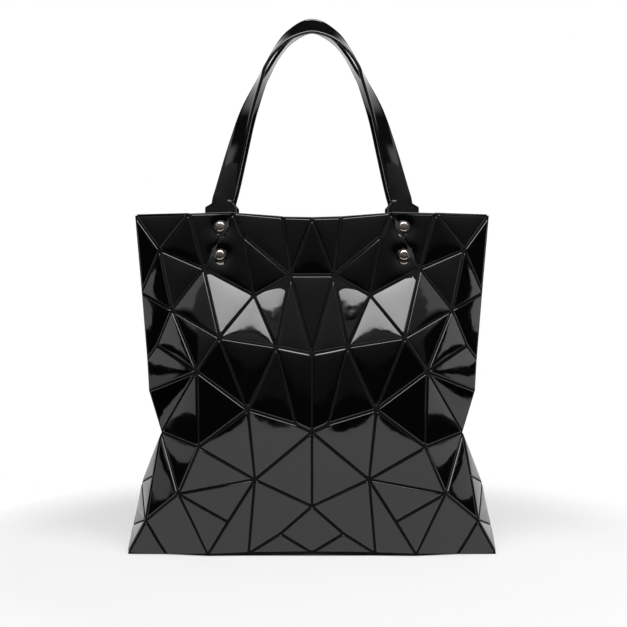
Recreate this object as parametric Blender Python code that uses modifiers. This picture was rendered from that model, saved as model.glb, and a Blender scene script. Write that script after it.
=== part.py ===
"""A structured tote bag: rigid tiles bonded on cloth, folding sides, two strap handles
that come out of the mouth on riveted feet, a cloth lining and an inside zip pocket.

The bag stands on z = 0 with its centre over the origin. Its front looks toward -Y.
Lengths are in metres.
"""
import math

import bmesh
import bpy
from mathutils import Matrix, Vector
from mathutils.bvhtree import BVHTree

# Driving sizes of the body.
BAG_WIDTH = 0.366
BAG_HEIGHT = 0.346
MOUTH_DEPTH = 0.060
BELLY_DEPTH = 0.144
BASE_DEPTH = 0.100
TILE_HEIGHT = 0.0012
TILE_CHAMFER = 0.0004
SEAM_WIDTH = 0.0018
CLOTH_THICKNESS = 0.0008
SEAT_GAP = 0.0003

# Mouth finish and lining.
BINDING_HEIGHT = 0.0012
FACING_THICKNESS = 0.0010
FACING_MARGIN = 0.019
LINING_THICKNESS = 0.0006

# Handles. The foot is the flat end inside the mouth, the neck is where the loop starts.
STRAP_WIDTH = 0.0220
STRAP_THICKNESS = 0.0036
FOOT_WIDTH = 0.0320
FOOT_LENGTH = 0.055
FOOT_CORNER_RADIUS = 0.008
NECK_RISE = 0.0125
NECK_SHIFT = 0.0018
SHOULDER_START = 0.0060
SHOULDER_END = 0.0115
FRONT_LOOP_RISE = 0.1855
BACK_LOOP_RISE = 0.1815

# Rivets. The pitch runs down the foot from the upper rivet to the lower one.
RIVET_DROP = 0.0145
RIVET_PITCH = 0.0290
RIVET_CAP_RADIUS = 0.0050
RIVET_CAP_HEIGHT = 0.0024
RIVET_RIM_HEIGHT = 0.0006
RIVET_SHANK_RADIUS = 0.0015
BURR_RADIUS = 0.0042
BURR_HEIGHT = 0.0010
SHANK_END = 0.0006

# Zip pocket on the back of the mouth facing.
POUCH_WIDTH = 0.130
POUCH_HEIGHT = 0.105
POUCH_THICKNESS = 0.0032
POUCH_WALL = 0.0008
POUCH_DROP = 0.022
WINDOW_WIDTH = 0.104
WINDOW_HEIGHT = 0.0100
WINDOW_DROP = 0.012
TAPE_THICKNESS = 0.0007
TEETH_WIDTH = 0.0044
TEETH_HEIGHT = 0.0012
TEETH_PITCH = 0.0040
TEETH_NOTCH = 0.0005
SLIDER_LENGTH = 0.0090
SLIDER_WIDTH = 0.0074
SLIDER_WALL = 0.0009
BAIL_SIZE = 0.0016
BAIL_SPAN = 0.0036
EYE_WALL = 0.0007
PULL_LENGTH = 0.0240
PULL_WIDTH = 0.0056
PULL_THICKNESS = 0.0010

# How far a cutter runs past the face that it cuts.
OVERRUN = 0.002
# A mitred corner reaches at most this many thicknesses inward.
MITRE_LIMIT = 3.0
ROUND_STEPS = 12
CORNER_STEPS = 4
BEVEL_STEPS = 2
LOOP_STEPS = 3
PROBE_STEPS = 26
CREASE_ANGLE = math.radians(35)
BEVEL_ANGLE = math.radians(60)

HALF_WIDTH = BAG_WIDTH / 2
WALL = TILE_HEIGHT + CLOTH_THICKNESS
LINING_FACE = WALL + SEAT_GAP
FACING_BACK = LINING_FACE + FACING_THICKNESS
SIDES = (-1, 1)
FRONT, BACK = -1, 1

# Corners of the tiles on the right half of the front. Each is a share of the half width,
# a share of the height and a share of the half depth of its own zone of the bag.
MOUTH_NODE_SHARES = {
    "corner_top": (1.010, 0.988, 0.43),
    "top_a": (0.686, 0.992, 1.00),
    "top_b": (0.441, 0.995, 1.00),
    "top_d": (0.000, 0.979, 1.03),
    "upper_a": (0.852, 0.886, 0.83),
    "upper_b": (0.598, 0.830, 1.20),
    "upper_c": (0.120, 0.811, 1.147),
    "side_a": (0.967, 0.757, 0.55),
}
BELLY_NODE_SHARES = {
    "fold_a": (0.776, 0.710, 0.522),
    "fold_b": (0.501, 0.634, 0.886),
    "fold_d": (0.193, 0.607, 0.817),
    "side_b": (0.932, 0.559, 0.296),
    "low_a": (0.626, 0.536, 0.875),
    "waist_side": (0.847, 0.348, 0.336),
    "waist_a": (0.613, 0.323, 0.965),
    "waist_b": (0.344, 0.430, 1.00),
    "waist_c": (0.000, 0.366, 0.955),
    "skirt_a": (0.726, 0.187, 0.867),
    "skirt_b": (0.308, 0.229, 0.92),
    "skirt_c": (0.000, 0.149, 0.83),
}
BASE_NODE_SHARES = {
    "hem_a": (0.789, 0.0010, 0.87),
    "hem_b": (0.569, 0.0046, 1.03),
    "hem_c": (0.346, 0.0078, 1.00),
    "corner_base": (1.006, 0.0067, 0.86),
}
# Nodes on the fold line of the gusset, in the middle of the bag's depth.
GUSSET_NODE_SHARES = {
    "gusset_top": (0.925, 0.986, 0),
    "gusset_a": (0.865, 0.760, 0),
    "gusset_b": (0.800, 0.550, 0),
    "gusset_pinch": (0.815, 0.350, 0),
    "gusset_c": (0.972, 0.189, 0),
    "gusset_d": (1.018, 0.063, 0),
}
# Nodes of the base, which is flat on the ground inside its hem.
FLOOR_NODE_SHARES = {
    "floor_a": (0.175, 0, 0.56),
    "floor_b": (0.510, 0, 0.58),
    "floor_c": (0.830, 0, 0.55),
    "floor_middle": (0, 0, 0),
    "floor_mid_a": (0.345, 0, 0),
    "floor_mid_b": (0.670, 0, 0),
    "floor_end": (0.960, 0, 0),
}
# Nodes whose depth is set by a flat tile: their two shares, then the three corners of that tile.
FLAT_NODE_SHARES = {
    "fold_c": (0.320, 0.752, ("top_a", "top_b", "upper_b")),
    "top_rib": (0.385, 0.927, ("top_b", "upper_b", "fold_c")),
    "top_c": (0.163, 0.982, ("top_b", "top_rib", "upper_c")),
    "side_rib": (0.863, 0.604, ("side_a", "fold_a", "side_b")),
    "side_c": (0.918, 0.470, ("side_rib", "low_a", "side_b")),
    "waist_rib": (0.086, 0.388, ("waist_b", "waist_c", "skirt_b")),
    "fold_e": (0.000, 0.586, ("fold_d", "waist_rib", "waist_c")),
    "foot_side": (0.914, 0.103, ("skirt_a", "hem_b", "hem_a")),
    "side_d": (0.882, 0.225, ("waist_side", "skirt_a", "foot_side")),
    "skirt_rib": (0.457, 0.103, ("skirt_b", "hem_b", "hem_c")),
    "hem_rib": (0.172, 0.068, ("skirt_b", "skirt_c", "hem_c")),
    "hem_d": (0.000, 0.0101, ("skirt_c", "hem_rib", "-hem_rib")),
}

# Tiles of the right half of the front. A minus sign before a name takes the node of the
# other half, for a tile that lies across the middle.
FRONT_TILES = (
    "corner_top top_a upper_a",
    "corner_top upper_a side_a",
    "upper_a fold_a side_a",
    "upper_a top_a upper_b",
    "top_a top_b upper_b",
    "upper_a upper_b fold_a",
    "top_b top_rib fold_c upper_b",
    "top_rib upper_c fold_c",
    "top_b top_c upper_c top_rib",
    "top_c top_d upper_c",
    "upper_b fold_b fold_a",
    "upper_b fold_c fold_b",
    "fold_c fold_d fold_b",
    "fold_c upper_c fold_d",
    "upper_c fold_e fold_d",
    "side_a fold_a side_rib side_b",
    "fold_a low_a side_rib",
    "fold_a fold_b low_a",
    "side_rib low_a side_c side_b",
    "low_a fold_b waist_b",
    "fold_b fold_d waist_b",
    "fold_d waist_rib waist_b",
    "fold_d fold_e waist_c waist_rib",
    "low_a waist_side side_c",
    "low_a waist_a waist_side",
    "low_a waist_b waist_a",
    "waist_side waist_a skirt_a",
    "waist_side skirt_a foot_side side_d",
    "waist_a skirt_b skirt_a",
    "waist_a waist_b skirt_b",
    "waist_b waist_rib waist_c skirt_b",
    "waist_c skirt_c skirt_b",
    "foot_side skirt_a hem_b hem_a",
    "foot_side hem_a corner_base",
    "skirt_a skirt_rib hem_b",
    "skirt_a skirt_b skirt_rib",
    "skirt_b hem_c hem_b skirt_rib",
    "skirt_b skirt_c hem_rib hem_c",
    "hem_rib hem_d hem_c",
)
FRONT_MIDDLE_TILES = (
    "top_d upper_c -upper_c",
    "upper_c fold_e -upper_c",
    "skirt_c -hem_rib hem_d hem_rib",
)
# Tiles of the front half of the right gusset.
GUSSET_TILES = (
    "corner_top gusset_top gusset_a",
    "corner_top gusset_a side_a",
    "side_a gusset_a side_b",
    "gusset_a gusset_b side_b",
    "side_b gusset_b side_c",
    "gusset_b waist_side side_c",
    "gusset_b gusset_pinch waist_side",
    "waist_side gusset_pinch gusset_c",
    "waist_side gusset_c side_d",
    "side_d gusset_c foot_side",
    "foot_side gusset_c gusset_d",
    "foot_side gusset_d corner_base",
)
# Tiles of one quarter of the base, and those that lie across its middle.
BASE_TILES = (
    "hem_d hem_c floor_a",
    "hem_c floor_b floor_a",
    "hem_c hem_b floor_b",
    "hem_b hem_a floor_b",
    "hem_a floor_c floor_b",
    "hem_a corner_base floor_c",
    "floor_a floor_mid_a floor_middle",
    "floor_a floor_b floor_mid_a",
    "floor_b floor_mid_b floor_mid_a",
    "floor_b floor_c floor_mid_b",
    "floor_c floor_end floor_mid_b",
    "floor_c corner_base floor_end",
)

# The loop of a handle from its neck to its apex: shares of the rise, of the spread at the
# neck (front handle, then back handle, which bows in a little more), of the quarter turn
# that the strap makes, and of its lean toward the other handle.
LOOP_SHARES = (
    (0.000, 1.000, 1.000, 0.00, 0.00),
    (0.084, 0.968, 0.938, 0.11, 0.15),
    (0.333, 0.841, 0.812, 0.39, 0.50),
    (0.510, 0.738, 0.711, 0.59, 0.68),
    (0.685, 0.590, 0.572, 0.86, 0.82),
    (0.747, 0.530, 0.514, 0.94, 0.86),
    (0.852, 0.408, 0.394, 1.00, 0.92),
    (0.946, 0.243, 0.232, 1.00, 0.97),
    (1.000, 0.000, 0.000, 1.00, 1.00),
)

# Colours of the pieces.
PLATE_BLACK = (0.012, 0.012, 0.013)
STRAP_BLACK = (0.010, 0.010, 0.011)
CLOTH_BLACK = (0.016, 0.016, 0.018)
WARM_SILVER = (0.62, 0.54, 0.48)
DARK_NICKEL = (0.30, 0.29, 0.28)


def clear_scene():
    for item in list(bpy.data.objects):
        bpy.data.objects.remove(item, do_unlink=True)


def new_collection(name):
    group = bpy.data.collections.new(name)
    bpy.context.scene.collection.children.link(group)
    return group


def material(name, colour, roughness, metallic=0.0):
    skin = bpy.data.materials.new(name)
    skin.use_nodes = True
    shader = skin.node_tree.nodes["Principled BSDF"]
    shader.inputs["Base Color"].default_value = (*colour, 1.0)
    shader.inputs["Roughness"].default_value = roughness
    shader.inputs["Metallic"].default_value = metallic
    return skin


def object_from(builder, name, group, skin=None):
    """Turn a bmesh into an object of the given collection."""
    mesh = bpy.data.meshes.new(name)
    builder.to_mesh(mesh)
    builder.free()
    if skin:
        mesh.materials.append(skin)
    item = bpy.data.objects.new(name, mesh)
    group.objects.link(item)
    return item


def soften(item):
    """Shade a round piece smooth and keep its real edges sharp."""
    item.data.shade_smooth()
    item.data.set_sharp_from_angle(angle=CREASE_ANGLE)


def cut(item, cutter, operation="DIFFERENCE"):
    trim = item.modifiers.new(cutter.name, "BOOLEAN")
    trim.operation = operation
    trim.solver = "EXACT"
    trim.object = cutter


def as_cutter(item):
    item.hide_render = True
    item.display_type = "WIRE"
    return item


def box(name, size, centre, group, skin=None):
    """An upright box given by its three sizes and its centre."""
    builder = bmesh.new()
    bmesh.ops.create_cube(builder, size=1.0)
    bmesh.ops.scale(builder, vec=Vector(size), verts=builder.verts)
    bmesh.ops.translate(builder, vec=Vector(centre), verts=builder.verts)
    return object_from(builder, name, group, skin)


# The outer surface of the bag: corners, tiles and the mitre of each corner.


def depth_on_tile(place, corners):
    """Depth at a place of the elevation on the plane through three corners."""
    first, second, third = corners
    normal = (second - first).cross(third - first)
    offset = normal.x * (place[0] - first.x) + normal.z * (place[1] - first.z)
    return first.y - offset / normal.y


def front_nodes():
    """Tile corners of the right half of the front, at -Y."""
    zones = (
        (MOUTH_NODE_SHARES, MOUTH_DEPTH / 2),
        (BELLY_NODE_SHARES, BELLY_DEPTH / 2),
        (BASE_NODE_SHARES, BASE_DEPTH / 2),
        (GUSSET_NODE_SHARES, BELLY_DEPTH / 2),
        (FLOOR_NODE_SHARES, BASE_DEPTH / 2),
    )
    nodes = {}
    for table, half_depth in zones:
        for name, (x_share, z_share, depth_share) in table.items():
            place = (x_share * HALF_WIDTH, -depth_share * half_depth, z_share * BAG_HEIGHT)
            nodes[name] = Vector(place)
    for name, (x_share, z_share, tile) in FLAT_NODE_SHARES.items():
        place = (x_share * HALF_WIDTH, z_share * BAG_HEIGHT)
        corners = []
        for corner in tile:
            mirrored = nodes[corner.lstrip("-")].copy()
            if corner.startswith("-"):
                mirrored.x = -mirrored.x
            corners.append(mirrored)
        nodes[name] = Vector((place[0], depth_on_tile(place, corners), place[1]))
    return nodes


NODES = front_nodes()


def corner_key(name, side, face):
    """A tile corner on one of the four quarters; corners on a middle plane are shared."""
    if name.startswith("-"):
        name = name[1:]
        side = -side
    node = NODES[name]
    return name, side if node.x > 0 else 0, face if node.y < 0 else 0


def corner_place(key):
    name, side, face = key
    node = NODES[name]
    return Vector((side * node.x, -face * node.y, node.z))


def tile_keys():
    """Every tile of the bag as (panel name, corner keys)."""
    tiles = []
    for face, panel in ((FRONT, "front_panel"), (BACK, "back_panel")):
        for side in SIDES:
            tiles += [(panel, [corner_key(n, side, face) for n in t.split()]) for t in FRONT_TILES]
        tiles += [(panel, [corner_key(n, 1, face) for n in t.split()]) for t in FRONT_MIDDLE_TILES]
    for side, panel in ((-1, "left_gusset"), (1, "right_gusset")):
        for face in (FRONT, BACK):
            tiles += [(panel, [corner_key(n, side, face) for n in t.split()]) for t in GUSSET_TILES]
        ends = (FRONT, BACK)
        tiles.append((panel, [corner_key("gusset_d", side, FRONT)]
                      + [corner_key("corner_base", side, face) for face in ends]))
    for face in (FRONT, BACK):
        for side in SIDES:
            tiles += [("base_panel", [corner_key(n, side, face) for n in t.split()])
                      for t in BASE_TILES]
        across = ("hem_d floor_a -floor_a", "floor_a floor_middle -floor_a")
        tiles += [("base_panel", [corner_key(n, 1, face) for n in t.split()]) for t in across]
    for side in SIDES:
        tiles.append(("base_panel", [corner_key("floor_end", side, FRONT)]
                      + [corner_key("corner_base", side, face) for face in (FRONT, BACK)]))
    return tiles


def outer_surface():
    """Turn the tiles outward and find how each corner moves as a wall gets thicker.

    Returns the turned tiles of each panel, and for each corner the vector that takes it
    inward for one unit of thickness, so that walls meet in a mitre.
    """
    builder = bmesh.new()
    corners = {}
    keys = {}
    faces = []
    for panel, tile in tile_keys():
        for key in tile:
            if key not in corners:
                corners[key] = builder.verts.new(corner_place(key))
        faces.append((panel, builder.faces.new([corners[key] for key in tile])))
    bmesh.ops.recalc_face_normals(builder, faces=builder.faces)
    for key, corner in corners.items():
        keys[corner] = key
    panels = {}
    for panel, face in faces:
        panels.setdefault(panel, []).append([keys[corner] for corner in face.verts])
    inward = {}
    for key, corner in corners.items():
        mitre = min(corner.calc_shell_factor(), MITRE_LIMIT)
        inward[key] = -mitre * corner.normal
    builder.free()
    return panels, inward


PANELS, INWARD = outer_surface()


def surface_point(key, depth):
    """The corner of a wall surface that lies a given depth under the tile faces."""
    return corner_place(key) + INWARD[key] * depth


def border_edges(tiles):
    """Directed edges that have a tile of this set on one side only."""
    edges = set()
    for tile in tiles:
        edges.update(zip(tile, tile[1:] + tile[:1]))
    return [edge for edge in sorted(edges) if (edge[1], edge[0]) not in edges]


ALL_TILES = [tile for tiles in PANELS.values() for tile in tiles]
MOUTH_EDGES = set(border_edges(ALL_TILES))


def border_pulls(tiles):
    """How far each border corner is drawn back to keep half a gap to the next panel."""
    sides_at = {}
    for start, end in border_edges(tiles):
        if (start, end) in MOUTH_EDGES:
            continue
        for key in (start, end):
            along = corner_place(end) - corner_place(start)
            wall = along.cross(INWARD[key]).normalized()
            sides_at.setdefault(key, []).append(wall)
    pulls = {}
    for key, walls in sides_at.items():
        spread = max(1 + walls[0].dot(walls[-1]), 1 / MITRE_LIMIT)
        total = walls[0] if len(walls) == 1 else (walls[0] + walls[-1]) / spread
        pulls[key] = total * (SEAT_GAP / 2)
    return pulls


def add_shell(builder, tiles, outer_depth, inner_depth, pulls):
    """A closed wall between two depths. Returns its outer faces."""
    still = Vector((0, 0, 0))
    rings = []
    for depth in (outer_depth, inner_depth):
        ring = {}
        for key in sorted({key for tile in tiles for key in tile}):
            place = surface_point(key, depth) + pulls.get(key, still)
            ring[key] = builder.verts.new(place)
        rings.append(ring)
    outer, inner = rings
    faces = [builder.faces.new([outer[key] for key in tile]) for tile in tiles]
    for tile in tiles:
        builder.faces.new([inner[key] for key in reversed(tile)])
    for start, end in border_edges(tiles):
        builder.faces.new((outer[end], outer[start], inner[start], inner[end]))
    return faces


def raise_tiles(builder, faces):
    """Stand a chamfered plate on each face, half a seam in from its edges."""
    bmesh.ops.inset_individual(builder, faces=faces, thickness=SEAM_WIDTH / 2, use_even_offset=True)
    faces = bmesh.ops.extrude_discrete_faces(builder, faces=faces)["faces"]
    builder.normal_update()
    for face in faces:
        lift = face.normal * (TILE_HEIGHT - TILE_CHAMFER)
        bmesh.ops.translate(builder, vec=lift, verts=face.verts)
    bmesh.ops.inset_individual(
        builder, faces=faces, thickness=TILE_CHAMFER, depth=TILE_CHAMFER, use_even_offset=True
    )


def panel_piece(name, group, skin):
    """One cloth panel with its rigid tiles."""
    tiles = PANELS[name]
    builder = bmesh.new()
    faces = add_shell(builder, tiles, TILE_HEIGHT, WALL, border_pulls(tiles))
    builder.normal_update()
    raise_tiles(builder, faces)
    return object_from(builder, name, group, skin)


def inside_wall(name, outer_depth, thickness, group, skin):
    """A plain wall that follows the whole inside of the bag."""
    builder = bmesh.new()
    add_shell(builder, ALL_TILES, outer_depth, outer_depth + thickness, {})
    return object_from(builder, name, group, skin)


def mouth_binding(name, group, skin):
    """A low edge band that runs round the mouth over the panel and the facing."""
    builder = bmesh.new()
    rings = []
    for depth, rise in (
        (0, SEAT_GAP),
        (0, SEAT_GAP + BINDING_HEIGHT),
        (FACING_BACK, SEAT_GAP + BINDING_HEIGHT),
        (FACING_BACK, SEAT_GAP),
    ):
        ring = {}
        for key in sorted({key for edge in MOUTH_EDGES for key in edge}):
            place = surface_point(key, depth)
            place.z += rise
            ring[key] = builder.verts.new(place)
        rings.append(ring)
    for first, second in zip(rings, rings[1:] + rings[:1]):
        for start, end in sorted(MOUTH_EDGES):
            builder.faces.new((first[start], first[end], second[end], second[start]))
    bmesh.ops.recalc_face_normals(builder, faces=builder.faces)
    return object_from(builder, name, group, skin)


# Handles, their feet and their rivets.

# The handle foot lies flat on the tiles between these two corners, which fix its lean.
TOP_NODE = NODES["top_b"]
UPPER_NODE = NODES["upper_b"]
FOOT_SPREAD = (TOP_NODE.x + UPPER_NODE.x) / 2 - NECK_SHIFT
NECK_SPREAD = FOOT_SPREAD - NECK_SHIFT
FOOT_LEAN = math.atan2(TOP_NODE.y - UPPER_NODE.y, TOP_NODE.z - UPPER_NODE.z)
STRAP_DEPTH = FACING_BACK + SEAT_GAP + STRAP_THICKNESS / 2
BURR_DEPTH = FACING_BACK + SEAT_GAP + STRAP_THICKNESS + SEAT_GAP


def foot_frame(side, face):
    """Frame of a handle foot: X across, Y into the bag, Z up the strap.

    Its origin is on the tile faces at the height of the mouth.
    """
    turn = Matrix.Rotation(math.pi if face == BACK else 0, 4, "Z")
    across = side * FOOT_SPREAD * (-1 if face == BACK else 1)
    place = Matrix.Translation((across, TOP_NODE.y, TOP_NODE.z))
    return turn @ place @ Matrix.Rotation(-FOOT_LEAN, 4, "X")


def foot_outline(side):
    """Outline of a foot in its own X and Z: round lower corners and a taper to the neck."""
    half = FOOT_WIDTH / 2
    radius = FOOT_CORNER_RADIUS
    points = []
    for centre_x, start in ((-half + radius, 180), (half - radius, 270)):
        for step in range(CORNER_STEPS + 1):
            angle = math.radians(start + 90 * step / CORNER_STEPS)
            x = centre_x + radius * math.cos(angle)
            points.append((x, -FOOT_LENGTH + radius + radius * math.sin(angle)))
    top = NECK_RISE - SEAT_GAP
    right = STRAP_WIDTH / 2 - side * NECK_SHIFT
    left = right - STRAP_WIDTH
    points += [(half, SHOULDER_START), (right, SHOULDER_END), (right, top)]
    points += [(left, top), (left, SHOULDER_END), (-half, SHOULDER_START)]
    return points


def handle_foot(name, side, face, group, skin):
    """The flat strap end that is riveted inside the mouth."""
    local_side = side * (-1 if face == BACK else 1)
    builder = bmesh.new()
    for y in (STRAP_DEPTH - STRAP_THICKNESS / 2, STRAP_DEPTH + STRAP_THICKNESS / 2):
        for x, z in foot_outline(local_side):
            builder.verts.new((x, y, z))
    verts = list(builder.verts)
    count = len(verts) // 2
    outer, inner = verts[:count], verts[count:]
    builder.faces.new(outer)
    builder.faces.new(list(reversed(inner)))
    for index in range(count):
        after = (index + 1) % count
        builder.faces.new((outer[after], outer[index], inner[index], inner[after]))
    bmesh.ops.recalc_face_normals(builder, faces=builder.faces)
    foot = object_from(builder, name, group, skin)
    foot.matrix_world = foot_frame(side, face)
    rounding = foot.modifiers.new("edge", "BEVEL")
    rounding.width = STRAP_THICKNESS / 4
    rounding.segments = BEVEL_STEPS
    rounding.limit_method = "ANGLE"
    rounding.angle_limit = BEVEL_ANGLE
    return foot


def neck_line(face, depth):
    """Point level with the necks of a handle, in the middle of the bag, at a depth in the foot."""
    neck = foot_frame(1, face) @ Vector((0, depth, NECK_RISE))
    return Vector((0, neck.y, neck.z))


def smooth_between(points, steps):
    """Catmull-Rom points through rows of (rise, spread, turn, lean), mirrored past the apex."""
    first = [2 * a - b for a, b in zip(points[0], points[1])]
    last = [-b if i == 1 else b for i, b in enumerate(points[-2])]
    row = [first] + [list(point) for point in points] + [last]
    result = []
    for index in range(1, len(row) - 2):
        before, start, end, after = row[index - 1:index + 3]
        for step in range(steps):
            t = step / steps
            result.append([
                b + t / 2 * (c - a + t * (2 * a - 5 * b + 4 * c - d + t * (3 * (b - c) + d - a)))
                for a, b, c, d in zip(before, start, end, after)
            ])
    result.append(list(points[-1]))
    return result


def strap_ring(half_width, half_thickness):
    """Cross-section of the strap: flat faces and round edges, as (across, through)."""
    ring = []
    for end in (1, -1):
        for step in range(CORNER_STEPS + 1):
            angle = math.radians(-90 + 180 * step / CORNER_STEPS)
            across = half_width - half_thickness + half_thickness * math.cos(angle)
            ring.append((end * across, end * half_thickness * math.sin(angle)))
    return ring


def handle_stations(face):
    """Stations of the loop from one neck to the other: place, width and outward directions.

    Written for the front handle and turned about Z for the back one.
    """
    neck = neck_line(FRONT, STRAP_DEPTH)
    apex_y = -(STRAP_WIDTH + SEAT_GAP) / 2
    loop_rise = FRONT_LOOP_RISE if face == FRONT else BACK_LOOP_RISE
    shares = [
        (rise, front if face == FRONT else back, turn, lean)
        for rise, front, back, turn, lean in LOOP_SHARES
    ]
    half = []
    for rise, spread, turn, lean in smooth_between(shares, LOOP_STEPS):
        y = neck.y + (apex_y - neck.y) * lean
        half.append((Vector((spread * NECK_SPREAD, y, neck.z + rise * loop_rise)), turn))
    left = [(Vector((-place.x, place.y, place.z)), turn) for place, turn in half]
    row = left + half[-2::-1]
    lean_up = Vector((0, math.sin(FOOT_LEAN), math.cos(FOOT_LEAN)))
    stations = []
    for index, (place, turn) in enumerate(row):
        before = row[max(index - 1, 0)][0]
        after = row[min(index + 1, len(row) - 1)][0]
        along = (after - before).normalized()
        if index == 0:
            along = lean_up
        if index == len(row) - 1:
            along = -lean_up
        toward_front = Vector((0, -1, 0))
        toward_front = (toward_front - along * toward_front.dot(along)).normalized()
        outside = toward_front.cross(along)
        if along.z * outside.x > 0 or (index == len(row) // 2 and outside.z < 0):
            outside = -outside
        angle = turn * math.pi / 2
        normal = toward_front * math.cos(angle) + outside * math.sin(angle)
        across = along.cross(normal)
        stations.append((place, along, across, normal))
    return stations


def handle_loop(name, face, group, skin):
    """The strap from neck to neck, a quarter turn in each leg.

    Its origin is on the fold line, which runs along the outer face of the strap.
    """
    builder = bmesh.new()
    rings = []
    for place, along, across, normal in handle_stations(face):
        section = strap_ring(STRAP_WIDTH / 2, STRAP_THICKNESS / 2)
        rings.append([builder.verts.new(place + across * a + normal * n) for a, n in section])
    for first, second in zip(rings, rings[1:]):
        for index in range(len(first)):
            after = (index + 1) % len(first)
            builder.faces.new((first[index], first[after], second[after], second[index]))
    builder.faces.new(list(reversed(rings[0])))
    builder.faces.new(rings[-1])
    bmesh.ops.recalc_face_normals(builder, faces=builder.faces)
    fold = neck_line(FRONT, STRAP_DEPTH - STRAP_THICKNESS / 2)
    bmesh.ops.translate(builder, vec=-fold, verts=builder.verts)
    loop = object_from(builder, name, group, skin)
    turn = Matrix.Rotation(math.pi if face == BACK else 0, 4, "Z")
    loop.matrix_world = turn @ Matrix.Translation(fold)
    soften(loop)
    return loop


def turned(name, profile, group, skin):
    """A turned piece about its own Y axis, from a profile of (radius, y) points."""
    builder = bmesh.new()
    verts = [builder.verts.new((radius, y, 0)) for radius, y in profile]
    for first, second in zip(verts, verts[1:]):
        builder.edges.new((first, second))
    item = object_from(builder, name, group, skin)
    screw = item.modifiers.new("turn", "SCREW")
    screw.axis = "Y"
    screw.steps = ROUND_STEPS
    screw.render_steps = ROUND_STEPS
    screw.use_merge_vertices = True
    screw.merge_threshold = 0.00001
    screw.use_normal_calculate = True
    screw.use_smooth_shade = False
    return item


def rivet_profile():
    """Domed cap outside the tiles and a shank that reaches the burr."""
    base = -SEAT_GAP
    rim = base - RIVET_RIM_HEIGHT
    dome = RIVET_CAP_HEIGHT - RIVET_RIM_HEIGHT
    shank_end = BURR_DEPTH + BURR_HEIGHT + SHANK_END
    profile = [
        (0, shank_end),
        (RIVET_SHANK_RADIUS, shank_end),
        (RIVET_SHANK_RADIUS, base),
        (RIVET_CAP_RADIUS, base),
    ]
    for step in range(CORNER_STEPS):
        angle = math.radians(90 * step / CORNER_STEPS)
        profile.append((RIVET_CAP_RADIUS * math.cos(angle), rim - dome * math.sin(angle)))
    profile.append((0, rim - dome))
    return profile


def burr_profile():
    """Pressed ring with a raised lip round the shank."""
    hole = RIVET_SHANK_RADIUS + SEAT_GAP
    lip = (hole + BURR_RADIUS) / 2
    back = BURR_DEPTH + BURR_HEIGHT
    return [
        (hole, back),
        (hole, BURR_DEPTH),
        (BURR_RADIUS, BURR_DEPTH),
        (BURR_RADIUS, BURR_DEPTH + BURR_HEIGHT / 2),
        (lip, back),
        (hole, back),
    ]


def rivet_frames(side, face):
    for row, name in enumerate(("upper", "lower")):
        drop = RIVET_DROP + row * RIVET_PITCH
        yield name, foot_frame(side, face) @ Matrix.Translation((0, 0, -drop))


def rivet_hole(name, frame, group):
    """A cutter that clears the shank through the panel, the facing and the foot."""
    radius = RIVET_SHANK_RADIUS + SEAT_GAP
    start = -OVERRUN
    end = BURR_DEPTH + OVERRUN
    builder = bmesh.new()
    bmesh.ops.create_cone(
        builder, cap_ends=True, segments=ROUND_STEPS,
        radius1=radius, radius2=radius, depth=end - start,
        matrix=Matrix.Translation((0, (start + end) / 2, 0)) @ Matrix.Rotation(math.pi / 2, 4, "X"),
    )
    cutter = as_cutter(object_from(builder, name, group))
    cutter.matrix_world = frame
    return cutter


# The zip pocket, in a frame whose X runs along the zip and whose Y points to the back of
# the bag. The pouch hangs on the facing between the feet of the back handle.


def pouch_back_y(facing):
    """Where the back of the pouch clears the nearest place of the facing behind it."""
    tree = BVHTree.FromObject(facing, bpy.context.evaluated_depsgraph_get())
    near = []
    for column in range(PROBE_STEPS + 1):
        for row in range(PROBE_STEPS + 1):
            x = POUCH_WIDTH * (column / PROBE_STEPS - 1 / 2)
            z = BAG_HEIGHT - POUCH_DROP - POUCH_HEIGHT * row / PROBE_STEPS
            hit = tree.ray_cast(Vector((x, 0, z)), Vector((0, 1, 0)))[0]
            if hit:
                near.append(hit.y)
    return min(near) - SEAT_GAP


def zip_pocket(facing, group, cutters, cloth, metal):
    back_y = pouch_back_y(facing)
    front_y = back_y - POUCH_THICKNESS
    top = BAG_HEIGHT - POUCH_DROP
    middle = (front_y + back_y) / 2
    pouch = box(
        "pocket_pouch", (POUCH_WIDTH, POUCH_THICKNESS, POUCH_HEIGHT),
        (0, middle, top - POUCH_HEIGHT / 2), group, cloth,
    )
    hollow = box(
        "pouch_hollow",
        (POUCH_WIDTH - 2 * POUCH_WALL, POUCH_THICKNESS - 2 * POUCH_WALL, POUCH_HEIGHT - 2 * POUCH_WALL),
        (0, middle, top - POUCH_HEIGHT / 2), cutters,
    )
    zip_z = top - WINDOW_DROP
    window = box(
        "pouch_window", (WINDOW_WIDTH, POUCH_WALL + OVERRUN, WINDOW_HEIGHT),
        (0, front_y + (POUCH_WALL - OVERRUN) / 2, zip_z), cutters,
    )
    for cutter in (hollow, window):
        cut(pouch, as_cutter(cutter))

    chain = zip_chain(group, cloth, front_y, zip_z)
    slider = zip_slider(group, cutters, metal, front_y, zip_z)
    pull = zip_pull(group, cutters, metal, front_y, zip_z)
    return pouch, chain, slider, pull


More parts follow.
